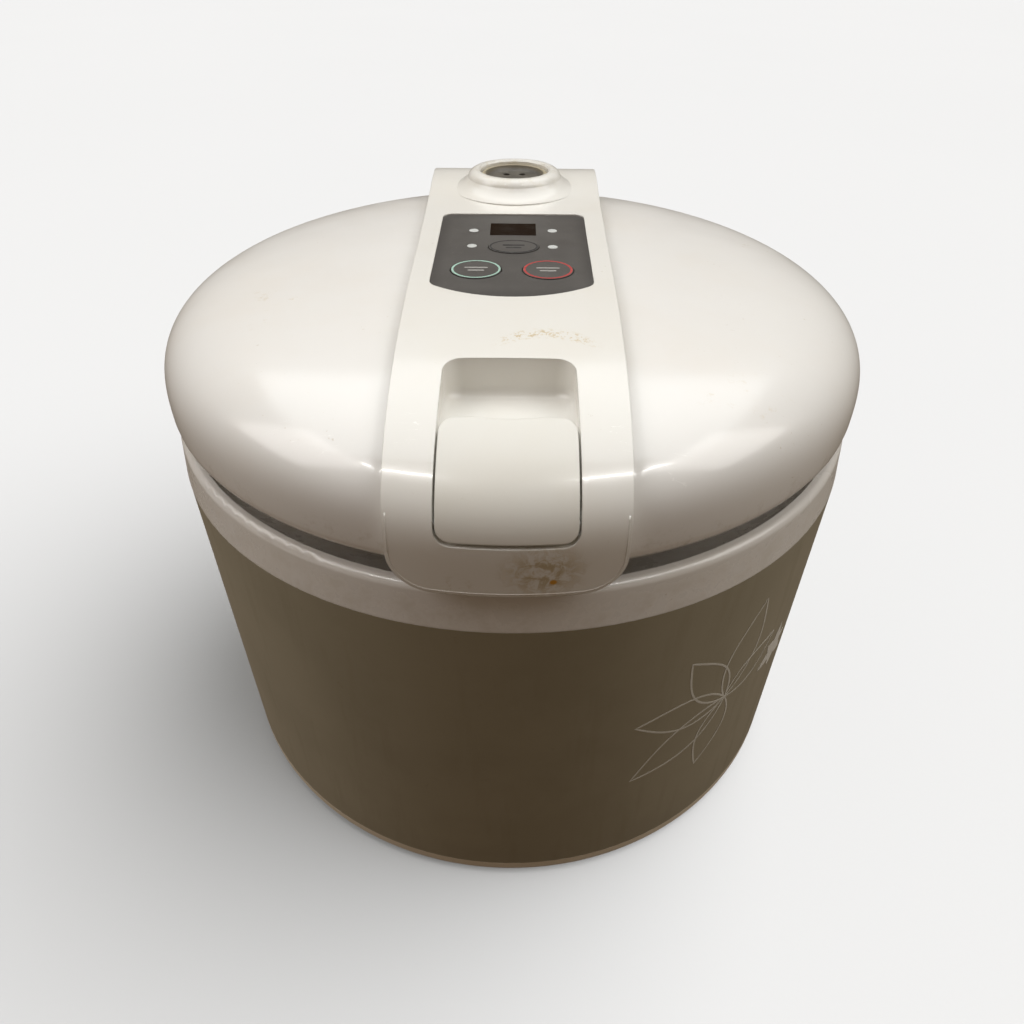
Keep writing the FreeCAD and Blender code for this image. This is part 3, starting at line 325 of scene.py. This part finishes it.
def heating_cast():
    """Cast aluminium, turned on its top: fine rings about the axis and brown scorch marks."""
    ring_pitch, cast_colour, scorch_colour = 0.9 * MM, tone(0.58, 0.58, 0.57), tone(0.36, 0.30, 0.23)
    look = Look("cast_aluminium", Metallic=1.0)
    across, back, _ = look.axes()
    out = look.out_from_axis(across, back)
    rings = look.maths("SINE", look.times(out, 2 * math.pi / ring_pitch))
    rings = look.plus(0.5, look.times(rings, 0.5))
    colour = look.mix(look.ease(look.noise(14, 5, 0.65), 0.45, 0.75, 0.0, 0.6), cast_colour, scorch_colour)
    roughness = look.plus(0.36, look.times(look.noise(6, 4), 0.2))
    return look.finish(colour, roughness, rings, 12)


def pot_coating():
    """Non-stick coating: near black with fine light flecks and faint stirring scratches."""
    coat_colour, fleck_colour = tone(0.045, 0.045, 0.05), tone(0.22, 0.22, 0.23)
    scratch_colour = tone(0.16, 0.16, 0.16)
    look = Look("pot_coating", Coat_Weight=0.2, Coat_Roughness=0.2)
    flecks = look.ease(look.noise(0.7, 2), 0.70, 0.76)
    colour = look.stain(coat_colour, flecks, 0.5, fleck_colour)
    scratches = look.ease(look.noise(6, 3, 0.6, stretch=(6, 0.2, 1)), 0.66, 0.72)
    colour = look.stain(colour, scratches, 0.25, scratch_colour)
    roughness = look.plus(0.34, look.times(look.noise(12, 4), 0.16))
    return look.finish(colour, roughness, look.noise(0.9, 3), 12)


def circuit_board():
    """Green solder mask over faint tracks."""
    mask_colour, track_colour = tone(0.03, 0.16, 0.07), tone(0.10, 0.33, 0.16)
    dull_colour = tone(0.02, 0.11, 0.05)
    look = Look("circuit_board", Coat_Weight=0.3, Coat_Roughness=0.1)
    tracks = look.node("ShaderNodeTexBrick", {"Vector": look.place, "Scale": 90.0, "Mortar Size": 0.03})
    colour = look.stain(mask_colour, tracks.outputs["Fac"], 0.45, track_colour)
    colour = look.mix(look.ease(look.noise(10, 3), 0.4, 0.7, 0.0, 0.3), colour, dull_colour)
    roughness = look.plus(0.25, look.times(look.noise(5, 3), 0.15))
    return look.finish(colour, roughness, tracks.outputs["Fac"], 30, 0.1)


def fabric_band():
    """Coated glass cloth: a plain weave at 1 mm."""
    band_radius, hollow_colour, thread_colour = 113.0, tone(0.50, 0.46, 0.38), tone(0.74, 0.70, 0.62)
    look = Look("band_fabric")
    across, back, up = look.axes()
    turn = look.times(look.maths("ARCTAN2", back, across), band_radius)
    warp = look.maths("ABSOLUTE", look.maths("SINE", look.times(turn, math.pi)))
    weft = look.maths("ABSOLUTE", look.maths("SINE", look.times(up, math.pi / MM)))
    weave = look.times(warp, weft)
    colour = look.mix(weave, hollow_colour, thread_colour)
    colour = look.mix(look.ease(look.noise(20, 4), 0.4, 0.7, 0.0, 0.4), colour, tone(0.55, 0.47, 0.34))
    return look.finish(colour, look.maths("SUBTRACT", 0.75, look.times(weave, 0.15)), weave, 90)


def panel_print():
    """Printed control overlay: warm grey, darker towards its rim, with a fine satin grain and wear."""
    side_start, side_end, ends_start, ends_end, middle_back = 0.0235, 0.0292, 0.034, 0.0425, 0.0055
    look = Look("panel_print", Coat_Weight=0.2, Coat_Roughness=0.15)
    across, back, _ = look.axes()
    side = look.ease(look.maths("ABSOLUTE", across), side_start, side_end)
    ends = look.ease(look.maths("ABSOLUTE", look.plus(back, middle_back)), ends_start, ends_end)
    rim = look.either(side, ends)
    colour = look.mix(look.ease(look.noise(14, 4), 0.35, 0.7), tone(0.098, 0.094, 0.088),
                      tone(0.084, 0.080, 0.075))
    colour = look.stain(colour, rim, 0.55, tone(0.050, 0.048, 0.046))
    dust = look.ease(look.noise(1.3, 4, 0.7), 0.60, 0.72)
    colour = look.stain(colour, dust, 0.14, tone(0.40, 0.38, 0.34))
    roughness = look.plus(0.34, look.times(look.noise(9, 4), 0.14))
    return look.finish(colour, roughness, look.noise(0.35, 3), 8, 0.2)


def display_glass():
    """Black window, a little smeared."""
    look = Look("display_glass", Coat_Weight=0.4, Coat_Roughness=0.05, IOR=1.5)
    smear = look.noise(5, 4, 0.6, warp=0.6)
    colour = look.mix(look.ease(smear, 0.4, 0.8, 0.0, 0.4), tone(0.002, 0.0015, 0.002),
                      tone(0.008, 0.007, 0.008))
    return look.finish(colour, look.ease(smear, 0.3, 0.8, 0.08, 0.26), smear, 3, 0.2)


def vent_cap():
    """Steam-stained cap: dark grey brown with darker spots and a yellowed rim."""
    cap_back, rim_start, rim_end = 0.076, 0.0122, 0.0146
    look = Look("vent_cap")
    colour = look.mix(look.ease(look.noise(9, 5, 0.65), 0.38, 0.66), tone(0.115, 0.102, 0.082),
                      tone(0.066, 0.058, 0.045))
    spots = look.ease(look.noise(2.2, 5, 0.7), 0.58, 0.68)
    colour = look.stain(colour, spots, 0.6, tone(0.05, 0.042, 0.033))
    across, back, _ = look.axes()
    out = look.out_from_axis(across, look.maths("SUBTRACT", back, cap_back))
    colour = look.stain(colour, look.ease(out, rim_start, rim_end), 0.75, tone(0.52, 0.45, 0.30))
    roughness = look.plus(0.42, look.times(look.noise(4, 4), 0.2))
    return look.finish(colour, roughness, look.noise(1.1, 4, 0.65), 40)


def paint(name, colour, worn):
    """Printed ink, a little rubbed."""
    look = Look(name)
    rubbed = look.ease(look.noise(1.6, 5, 0.7), 0.50, 0.72, 0.0, 0.6)
    body = look.mix(rubbed, colour, worn)
    return look.finish(body, look.plus(0.3, look.noise(3, 3)), look.noise(0.3, 2), 4, 0.05)


SLOT_LOOKS = {
    "body_sheet": body_sheet,
    "white_shell": white_shell,
    "cream_shell": cream_shell,
    "latch_plastic": latch_plastic,
    "base_plastic": lambda: satin("base_plastic", tone(0.74, 0.66, 0.53), tone(0.62, 0.54, 0.42), 0.36),
    "inner_plastic": lambda: satin("inner_plastic", tone(0.60, 0.59, 0.56), tone(0.50, 0.47, 0.42), 0.36),
    "dark_plastic": lambda: satin("dark_plastic", tone(0.045, 0.045, 0.045), tone(0.075, 0.07, 0.065),
                                  0.45),
    "foot_rubber": lambda: satin("foot_rubber", tone(0.05, 0.05, 0.05), tone(0.11, 0.10, 0.09), 0.75,
                                 0.6, 40),
    "silicone": lambda: satin("silicone", tone(0.68, 0.66, 0.61), tone(0.58, 0.52, 0.42), 0.5, 0.8, 12,
                              Subsurface_Weight=0.15, Subsurface_Scale=0.002),
    "aluminium": lambda: metal("aluminium", tone(0.72, 0.72, 0.71), tone(0.58, 0.55, 0.50), 0.32,
                               (8, 0.5, 1)),
    "cast_aluminium": heating_cast,
    "steel": lambda: metal("steel", tone(0.60, 0.60, 0.59), tone(0.42, 0.38, 0.33), 0.34),
    "liner_steel": lambda: metal("liner_steel", tone(0.55, 0.55, 0.53), tone(0.44, 0.41, 0.36), 0.4,
                                 (1, 1, 8), 2.5),
    "brass": lambda: metal("brass", tone(0.78, 0.60, 0.30), tone(0.50, 0.36, 0.16), 0.3),
    "pot_coating": pot_coating,
    "circuit_board": circuit_board,
    "relay_plastic": lambda: satin("relay_plastic", tone(0.02, 0.09, 0.28), tone(0.03, 0.07, 0.18), 0.3),
    "coil_core": lambda: satin("coil_core", tone(0.19, 0.15, 0.11), tone(0.30, 0.16, 0.07), 0.4, 0.5,
                               30, 0.3, (6, 6, 0.6)),
    "band_fabric": fabric_band,
    "panel_print": panel_print,
    "display_glass": display_glass,
    "key_print": panel_print,
    "light_pipe": lambda: satin("light_pipe", tone(0.74, 0.76, 0.74), tone(0.60, 0.60, 0.56), 0.22, 0.5, 4,
                                Transmission_Weight=0.15),
    "vent_cap": vent_cap,
}


def dress_frame():
    """Gives every CAD node its slot's finish; the ring and the hinge mount get the ring's white, with
    painted shade low down.
    """
    looks = {}
    for part in frame["record"]["subparts"]:
        slot = part["material_slot"]
        if part["node"] in ("upper_ring", "hinge_mount"):
            slot = "ring"
        if slot not in looks:
            looks[slot] = ring_plastic() if slot == "ring" else SLOT_LOOKS[slot]()
        holder = frame["nodes"][part["node"]]
        holder.data.materials.clear()
        holder.data.materials.append(looks[slot])
    return looks


# ---- mesh helpers -----------------------------------------------------------------------------


def new_piece(name, vertices, faces, material, body, smooth=True):
    """A mesh in the CAD frame from points in millimetres, riding on a body."""
    mesh = bpy.data.meshes.new(name)
    mesh.from_pydata([Vector(point) * MM for point in vertices], [], faces)
    mesh.materials.append(material)
    mesh.polygons.foreach_set("use_smooth", [smooth] * len(mesh.polygons))
    shape = bmesh.new()
    shape.from_mesh(mesh)
    bmesh.ops.recalc_face_normals(shape, faces=shape.faces)
    shape.to_mesh(mesh)
    shape.free()
    piece = bpy.data.objects.new(name, mesh)
    bpy.context.scene.collection.objects.link(piece)
    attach(piece, body)
    return piece


def loops_to_faces(rows, columns, closed_rows=False):
    """Quads between rows of points, each row a closed loop of columns."""
    faces = []
    for row in range(rows if closed_rows else rows - 1):
        first, following = row * columns, (row + 1) % rows * columns
        for column in range(columns):
            beside = (column + 1) % columns
            faces.append((first + column, first + beside, following + beside, following + column))
    return faces


def apply_modifiers(piece):
    """Turns what the modifiers show into the piece's own mesh."""
    graph = bpy.context.evaluated_depsgraph_get()
    mesh = bpy.data.meshes.new_from_object(piece.evaluated_get(graph))
    piece.modifiers.clear()
    piece.data = mesh


def cut_away(piece, tools):
    """Cuts the tools' solids out of a piece, and removes the tools."""
    for tool in tools:
        cut = piece.modifiers.new("cut", "BOOLEAN")
        cut.operation = "DIFFERENCE"
        cut.solver = "EXACT"
        cut.object = tool
        apply_modifiers(piece)
        bpy.data.objects.remove(tool)


def cutter(low, high):
    """A box between two corners in millimetres, to cut with."""
    shape = bmesh.new()
    bmesh.ops.create_cube(shape, size=1.0)
    size = Vector(high) - Vector(low)
    middle = (Vector(high) + Vector(low)) / 2
    bmesh.ops.transform(shape, matrix=Matrix.Translation(middle * MM) @ Matrix.Diagonal((*(size * MM), 1)),
                        verts=shape.verts)
    mesh = bpy.data.meshes.new("cutter")
    shape.to_mesh(mesh)
    shape.free()
    tool = bpy.data.objects.new("cutter", mesh)
    bpy.context.scene.collection.objects.link(tool)
    return tool


# ---- lid dome ---------------------------------------------------------------------------------


def superellipse(turn, radius, base, rise, flatness, shoulder):
    """(out, up) on a curve that starts upright at turn 0 and ends level at 90 degrees."""
    return radius * math.cos(turn) ** (2 / flatness), base + rise * math.sin(turn) ** (2 / shoulder)


def dome_profile(inset, count):
    """(out, up) from near the crown to the rim; the first row stands a part of a step off the axis."""
    off_axis = 0.35
    rows = []
    for step in range(count):
        turn = math.pi / 2 * (1 - (step + off_axis) / (count - 1 + off_axis))
        rows.append(superellipse(max(turn, 0.0), DOME_RADIUS - inset, DOME_BASE, DOME_RISE - inset,
                                 DOME_FLATNESS, DOME_SHOULDER))
    return rows


def beside_band(across, back):
    """How far a point lies outside the centre band's edge, in millimetres."""
    return abs(across) - (BAND_HALF + BAND_TAPER * back)


def make_dome(material):
    """The lid's outer shell, with a soft gutter where it meets the band and a rolled rim."""
    gutter_depth, gutter_width, gutter_low, gutter_fade = 0.9, 2.6, 180, 12
    columns = 720
    outer = dome_profile(0, 84)
    lip = [(133.3, 174.9), (132.6, 173.4), (131.2, 172.1), (129.3, 171.4), (126.4, 171.15), (124.0, 171.1)]
    inner = [(124.0, 173.4), (129.0, 173.9), (130.6, 175.4)] + dome_profile(DOME_WALL, 26)[::-1]
    points = []
    for index, (out, up) in enumerate(outer + lip + inner):
        for column in range(columns):
            angle = 2 * math.pi * column / columns
            across, back = out * math.cos(angle), out * math.sin(angle)
            drop = 0.0
            if index < len(outer):
                away = beside_band(across, back)
                drop = gutter_depth * math.exp(-(max(away, 0.0) / gutter_width) ** 2)
                drop *= min(1.0, max(0.0, (up - gutter_low) / gutter_fade))
            points.append((across, back, up - drop))
    rows = len(outer) + len(lip) + len(inner)
    faces = loops_to_faces(rows, columns)
    for crown, first in ((outer[0][1], 0), (inner[-1][1], (rows - 1) * columns)):
        points.append((0.0, 0.0, crown - (gutter_depth if first == 0 else 0.0)))
        faces += [(len(points) - 1, first + column, first + (column + 1) % columns)
                  for column in range(columns)]
    dome = new_piece("lid_dome", points, faces, material, "lid")
    openings = {
        "hinge": ((-36.4, 98, 160), (36.4, 140, 240)),
        "latch and finger recess": ((-31, -150, 178), (31, -84, 240)),
        "control board": ((-29.4, -44, 160), (29.4, 35, 240)),
        "steam vent": ((-16, 60, 160), (16, 92, 240)),
        "latch hook": ((-7.5, -140, 160), (7.5, -110, 190)),
    }
    cut_away(dome, [cutter(low, high) for low, high in openings.values()])
    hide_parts("lid_shell")


# ---- band trim --------------------------------------------------------------------------------


def band_turn(up):
    """The turn at which the band's curve has a given height."""
    share = min(1.0, max(0.0, (up - BAND_BASE) / BAND_RISE))
    return math.asin(share ** (BAND_SHOULDER / 2))


def band_skin(across, turn, proud=0.0):
    """A point on the front half of the band, at a turn from 0 at the skirt to 90 degrees on top."""
    out, up = superellipse(turn, BAND_FRONT - BAND_FLAT, BAND_BASE, BAND_RISE, BAND_FLATNESS, BAND_SHOULDER)
    reach = out + BAND_FLAT + proud
    return Vector((across, -math.sqrt(max(reach * reach - across * across, 0.0)), up))


def tube(name, path, radius, material, body):
    """A thin round bead along a path in millimetres."""
    sides, upright, count, points = 8, 1e-4, len(path), []
    for index, point in enumerate(path):
        before, after = path[max(index - 1, 0)], path[min(index + 1, count - 1)]
        along = (Vector(after) - Vector(before)).normalized()
        side = along.cross(Vector((0, 0, 1)))
        side = side.normalized() if side.length > upright else Vector((1, 0, 0))
        up = side.cross(along)
        for step in range(sides):
            angle = 2 * math.pi * step / sides
            points.append(Vector(point) + (side * math.cos(angle) + up * math.sin(angle)) * radius)
    faces = loops_to_faces(count, sides)
    faces += [tuple(range(sides)), tuple(range((count - 1) * sides, count * sides))]
    new_piece(name, points, faces, material, body)


def make_skirt_bead(material):
    """The parting bead that runs down both sides of the front skirt and round its lower corners."""
    skirt_low, skirt_corner, inset, above, front = 168.0, 12.0, 1.0, 14, 130
    bead_radius, sunk, side_steps, corner_steps = 0.28, -0.15, 11, 9
    half = BAND_HALF - BAND_TAPER * front - inset
    turn_radius = skirt_corner - inset
    drop = above - (skirt_low + skirt_corner - BAND_BASE)
    outline = []
    for step in range(side_steps + 1):
        outline.append((-half, BAND_BASE + above - step * drop / side_steps))
    for step in range(1, corner_steps + 1):
        turn = math.pi / 2 * step / corner_steps
        outline.append((-half + turn_radius * (1 - math.cos(turn)),
                        skirt_low + skirt_corner - turn_radius * math.sin(turn)))
    for step in range(1, side_steps + 1):
        outline.append((-half + turn_radius + step * (half - turn_radius) / side_steps, skirt_low + inset))
    outline += [(-across, up) for across, up in outline[-2::-1]]
    path = []
    for across, up in outline:
        point = band_skin(across, band_turn(up), sunk)
        path.append((point.x, point.y, up))
    tube("skirt_bead", path, bead_radius, material, "lid")


def make_latch_plate():
    """The latch lever, with the front corners of its lugs drawn back to the plate's curved face."""
    tolerance = 0.01
    source = frame["nodes"]["latch_lever"]
    mesh = source.data.copy()
    mesh.transform(source.matrix_world)
    for vertex in mesh.vertices:
        up = vertex.co.z / MM
        if BAND_BASE < up < BAND_BASE + BAND_RISE / 2:
            face = -band_skin(0.0, band_turn(up)).y
            out = math.hypot(vertex.co.x, vertex.co.y) / MM
            if out > face + tolerance:
                vertex.co.x *= face / out
                vertex.co.y *= face / out
    plate = bpy.data.objects.new("latch_plate", mesh)
    bpy.context.scene.collection.objects.link(plate)
    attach(plate, "latch")
    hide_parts("latch_lever")


# ---- control panel marks ----------------------------------------------------------------------


def ellipse_ring(name, node, half_width, half_depth, line, material, body):
    """A printed ring on top of a key, as a thin raised band."""
    low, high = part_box(node)
    middle = (low + high) / (2 * MM)
    top = high.z / MM
    count, points = 96, []
    for up in (top - INK_SUNK, top + INK_PROUD):
        for grow in (0.0, -line):
            for step in range(count):
                angle = 2 * math.pi * step / count
                points.append((middle.x + (half_width + grow) * math.cos(angle),
                               middle.y + (half_depth + grow) * math.sin(angle), up))
    faces = []
    for first, second in ((0, 2), (2, 3), (3, 1), (1, 0)):
        for step in range(count):
            beside = (step + 1) % count
            faces.append((first * count + step, first * count + beside, second * count + beside,
                          second * count + step))
    new_piece(name, points, faces, material, body, smooth=False)


def bar(name, centre, size, material, body):
    """A plain printed dash with round ends, as a thin raised plate."""
    across, back, up = centre
    half, depth, thick = size[0] / 2, size[1] / 2, size[2]
    end_steps, end_angle = 6, 180
    outline = []
    for mid, start in ((half - depth, -90), (-half + depth, 90)):
        for step in range(end_steps + 1):
            angle = math.radians(start + end_angle / end_steps * step)
            outline.append((across + mid + depth * math.cos(angle), back + depth * math.sin(angle)))
    count = len(outline)
    points = [(x, y, up) for x, y in outline] + [(x, y, up + thick) for x, y in outline]
    faces = loops_to_faces(2, count) + [tuple(range(count)), tuple(range(count, 2 * count))]
    new_piece(name, points, faces, material, body, smooth=False)


def make_panel_marks():
    """The printed rings on the three keys, and two plain dashes on each in place of its words."""
    dark = paint("ink_dark", tone(0.030, 0.028, 0.027), tone(0.10, 0.095, 0.09))
    green = paint("ink_green", tone(0.36, 0.55, 0.46), tone(0.25, 0.33, 0.28))
    red = paint("ink_red", tone(0.42, 0.05, 0.045), tone(0.26, 0.08, 0.07))
    pale = paint("ink_pale", tone(0.33, 0.32, 0.30), tone(0.18, 0.175, 0.165))
    for key, half_width, half_depth, line, ink in (("preset", 9.3, 6.9, 0.7, dark),
                                                   ("select", 8.8, 8.3, 0.7, green),
                                                   ("off", 8.8, 8.5, 0.8, red)):
        ellipse_ring("ring_" + key, "key_" + key, half_width, half_depth, line, ink, key + "_key")
    dash_depth, dash_rows = 1.1, (("rear", 1.3, 8.5), ("front", -1.3, 6.0))
    for key, ink in (("preset", dark), ("select", pale), ("off", pale)):
        low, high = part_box("key_" + key)
        middle = (low + high) / (2 * MM)
        for row, back, length in dash_rows:
            bar("dash_%s_%s" % (key, row), (middle.x, middle.y + back, high.z / MM - INK_SUNK),
                (length, dash_depth, INK_SUNK + INK_PROUD), ink, key + "_key")


# ---- body print -------------------------------------------------------------------------------


def on_shell(arc, up, proud):
    """A point on the body's sheet: arc is millimetres round from the front, towards +X."""
    angle = arc / SHELL_RADIUS
    radius = SHELL_RADIUS + proud
    return (radius * math.sin(angle), -radius * math.cos(angle), up)


def leaf_outline(base, angle, length, width, count=40):
    """A closed lens-shaped leaf from a base point, pointing along an angle, widest nearer its base."""
    fullness = 0.85
    points = []
    for step in range(count):
        share = 2 * step / count
        side = 1 if share <= 1 else -1
        along = share if share <= 1 else 2 - share
        out = width / 2 * side * math.sin(math.pi * along ** fullness)
        points.append((base[0] + length * along * math.cos(angle) - out * math.sin(angle),
                       base[1] + length * along * math.sin(angle) + out * math.cos(angle)))
    return points


def printed_line(name, outline, width, material):
    """A closed printed line on the body's sheet, as a thin ribbon."""
    count, points = len(outline), []
    for index in range(count):
        before, after = Vector(outline[index - 1]), Vector(outline[(index + 1) % count])
        here = Vector(outline[index])
        along = (after - before).normalized()
        side = Vector((-along.y, along.x)) * width / 2
        for offset, proud in ((side, 0.0), (side, PRINT_PROUD), (-side, PRINT_PROUD), (-side, 0.0)):
            point = here + offset
            points.append(on_shell(point.x, point.y, proud))
    faces = loops_to_faces(count, 4, closed_rows=True)
    new_piece(name, points, faces, material, "base", smooth=False)


def printed_leaf(name, outline, material):
    """A filled printed leaf on the body's sheet: rows of three points across it, one layer over another."""
    count = len(outline)
    half = count // 2
    points, faces = [], []
    for proud in (0.0, PRINT_PROUD):
        for index in range(half + 1):
            left, right = Vector(outline[index]), Vector(outline[-index if index else 0])
            for share in (0.0, 0.5, 1.0):
                point = left.lerp(right, share)
                points.append(on_shell(point.x, point.y, proud))
    layer = (half + 1) * 3
    for first in (0, layer):
        for row in range(half):
            for column in range(2):
                corner = first + row * 3 + column
                faces.append((corner, corner + 1, corner + 4, corner + 3))
    for row in range(half):
        for edge in (0, 2):
            corner = row * 3 + edge
            faces.append((corner, corner + 3, corner + 3 + layer, corner + layer))
    leaf = new_piece(name, points, faces, material, "base", smooth=False)
    shape = bmesh.new()
    shape.from_mesh(leaf.data)
    bmesh.ops.remove_doubles(shape, verts=shape.verts, dist=DOUBLES_APART)
    shape.to_mesh(leaf.data)
    shape.free()


def make_body_print():
    """A generic sprig: outlined leaves round one point, and a smaller filled one beside it."""
    line = paint("print_line", tone(0.66, 0.64, 0.57), tone(0.50, 0.48, 0.40))
    fill = paint("print_fill", tone(0.72, 0.70, 0.64), tone(0.56, 0.53, 0.46))
    centre, line_width = (87.0, 84.0), 0.85
    leaves = ((76, 47, 17), (124, 40, 16), (170, 42, 16), (214, 48, 17), (258, 38, 15), (30, 32, 13))
    for index, (turn, length, width) in enumerate(leaves):
        outline = leaf_outline(centre, math.radians(turn), length, width)
        printed_line("sprig_leaf_%d" % index, outline, line_width, line)
    small, petals, first_turn, petal_width, lengths = (122.0, 84.0), 6, 20, 5.5, (10, 13)
    for index in range(petals):
        turn = math.radians(first_turn + 360 / petals * index)
        outline = leaf_outline(small, turn, lengths[index % 2], petal_width, 24)
        printed_leaf("sprig_fill_%d" % index, outline, fill)


# ---- stage ------------------------------------------------------------------------------------


def area_light(name, place, target, size, power, colour):
    """A rectangular lamp at a place in metres, turned towards a target."""
    lamp = bpy.data.lights.new(name, "AREA")
    lamp.shape = "RECTANGLE"
    lamp.size, lamp.size_y = size
    lamp.energy = power
    lamp.color = colour
    holder = bpy.data.objects.new(name, lamp)
    bpy.context.scene.collection.objects.link(holder)
    holder.location = place
    holder.rotation_euler = (Vector(target) - Vector(place)).to_track_quat("-Z", "Y").to_euler()
    return holder


def make_stage():
    """A pale floor with suns of its own, and the lamps that light the object and not the floor.

    The floor doesn't show in the object and sends no light to it, so that it can be as bright as it is.
    """
    look = Look("floor", Specular_IOR_Level=0.0, Emission_Color=tone(0.90, 0.97, 1.0),
                Emission_Strength=0.12)
    grain = look.noise(900, 3)
    colour = look.mix(look.ease(grain, 0.3, 0.7), tone(0.400, 0.400, 0.400), tone(0.403, 0.403, 0.403))
    paper = look.finish(colour, 0.9, look.noise(2.0, 3), 20)
    half = FLOOR_SIDE / 2
    mesh = bpy.data.meshes.new("floor")
    corners = [(-half, -half, 0), (half, -half, 0), (half, half, 0), (-half, half, 0)]
    mesh.from_pydata(corners, [], [(0, 1, 2, 3)])
    mesh.materials.append(paper)
    floor = bpy.data.objects.new("floor", mesh)
    bpy.context.scene.collection.objects.link(floor)
    floor.visible_diffuse = False
    floor.visible_glossy = False
    floor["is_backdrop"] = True

    only_floor = bpy.data.collections.new("only_floor")
    only_floor.objects.link(floor)
    for name, energy, spread, towards in (("floor_sun", 6.1, 72, (-0.95, -0.24, -1.25)),
                                          ("floor_sky", 1.0, 140, (-0.1, 0.0, -1.0))):
        sun = bpy.data.lights.new(name, "SUN")
        sun.energy = energy
        sun.angle = math.radians(spread)
        holder = bpy.data.objects.new(name, sun)
        bpy.context.scene.collection.objects.link(holder)
        holder.rotation_euler = Vector(towards).to_track_quat("-Z", "Y").to_euler()
        holder.light_linking.receiver_collection = only_floor

    the_object = bpy.data.collections.new("the_object")
    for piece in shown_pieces():
        the_object.objects.link(piece)
    lamps = [
        area_light("overhead", (0.0, 0.42, 1.5), (0, 0.18, 0.2), (2.4, 1.36), 23.0, (0.96, 0.995, 1.0)),
        area_light("left", (-1.2, -0.22, 1.2), (0, 0, 0.15), (0.8, 0.8), 7.0, (1.0, 0.96, 0.94)),
        area_light("right", (1.2, -0.22, 1.2), (0, 0, 0.15), (0.8, 0.8), 7.0, (1.0, 0.98, 0.95)),
    ]
    tube_front, tube_height, tube_width, power_per_metre = -0.47, 1.35, 0.03, 6.5
    for name, across, reach in (("tube_left", -0.52, 0.50), ("tube_right", 0.56, 0.62)):
        tube_lamp = area_light(name, (across, tube_front, tube_height), (across * 0.8, -0.1, 0.2),
                               (reach, tube_width), reach * power_per_metre, (1.0, 0.99, 0.97))
        tube_lamp.visible_diffuse = False
        lamps.append(tube_lamp)
    for lamp in lamps:
        lamp.light_linking.receiver_collection = the_object


def make_world():
    """Dim warm surroundings, brighter to the sides; the camera itself sees a pale even backdrop."""
    world = bpy.data.worlds.new("surroundings")
    bpy.context.scene.world = world
    world.use_nodes = True
    tree = world.node_tree
    background = tree.nodes["Background"]
    place = tree.nodes.new("ShaderNodeTexCoord")
    split = tree.nodes.new("ShaderNodeSeparateXYZ")
    tree.links.new(place.outputs["Generated"], split.inputs[0])
    ramp = tree.nodes.new("ShaderNodeValToRGB")
    side = tree.nodes.new("ShaderNodeMath")
    side.operation = "ABSOLUTE"
    tree.links.new(split.outputs["X"], side.inputs[0])
    tree.links.new(side.outputs[0], ramp.inputs[0])
    ramp.color_ramp.elements[0].position = 0.25
    ramp.color_ramp.elements[0].color = (0.088, 0.056, 0.034, 1)
    ramp.color_ramp.elements[1].position = 1.0
    ramp.color_ramp.elements[1].color = (0.24, 0.20, 0.155, 1)
    pale = tree.nodes.new("ShaderNodeRGB")
    pale.outputs[0].default_value = (0.888, 0.888, 0.888, 1)
    path = tree.nodes.new("ShaderNodeLightPath")
    mix = tree.nodes.new("ShaderNodeMix")
    mix.data_type = "RGBA"
    tree.links.new(path.outputs["Is Camera Ray"], mix.inputs[0])
    tree.links.new(ramp.outputs[0], mix.inputs[6])
    tree.links.new(pale.outputs[0], mix.inputs[7])
    tree.links.new(mix.outputs[2], background.inputs["Color"])


def make_camera():
    """Stands close in front of the object, above it, and looks down at it."""
    yaw, pitch, roll = math.radians(0.6), math.radians(52.964), math.radians(0.274)
    distance, height, aside = 0.2778, 0.3150, -0.00075
    lens = bpy.data.cameras.new("camera")
    lens.lens = 25.7
    lens.sensor_width = 36.0
    lens.shift_x = 0.00233
    lens.shift_y = -0.03587
    lens.clip_start = 0.01
    holder = bpy.data.objects.new("camera", lens)
    bpy.context.scene.collection.objects.link(holder)
    turn = Matrix.Rotation(yaw, 4, "Z") @ Matrix.Rotation(pitch, 4, "X") @ Matrix.Rotation(roll, 4, "Z")
    place = Vector((distance * math.sin(yaw) + aside, -distance * math.cos(yaw), height))
    holder.matrix_world = Matrix.Translation(place) @ turn
    bpy.context.scene.camera = holder


# ---- the whole --------------------------------------------------------------------------------

make_camera()
looks = dress_frame()
make_dome(looks["white_shell"])
make_skirt_bead(looks["cream_shell"])
make_latch_plate()
make_panel_marks()
make_body_print()
make_world()
make_stage()
bpy.context.scene.view_settings.view_transform = "Standard"
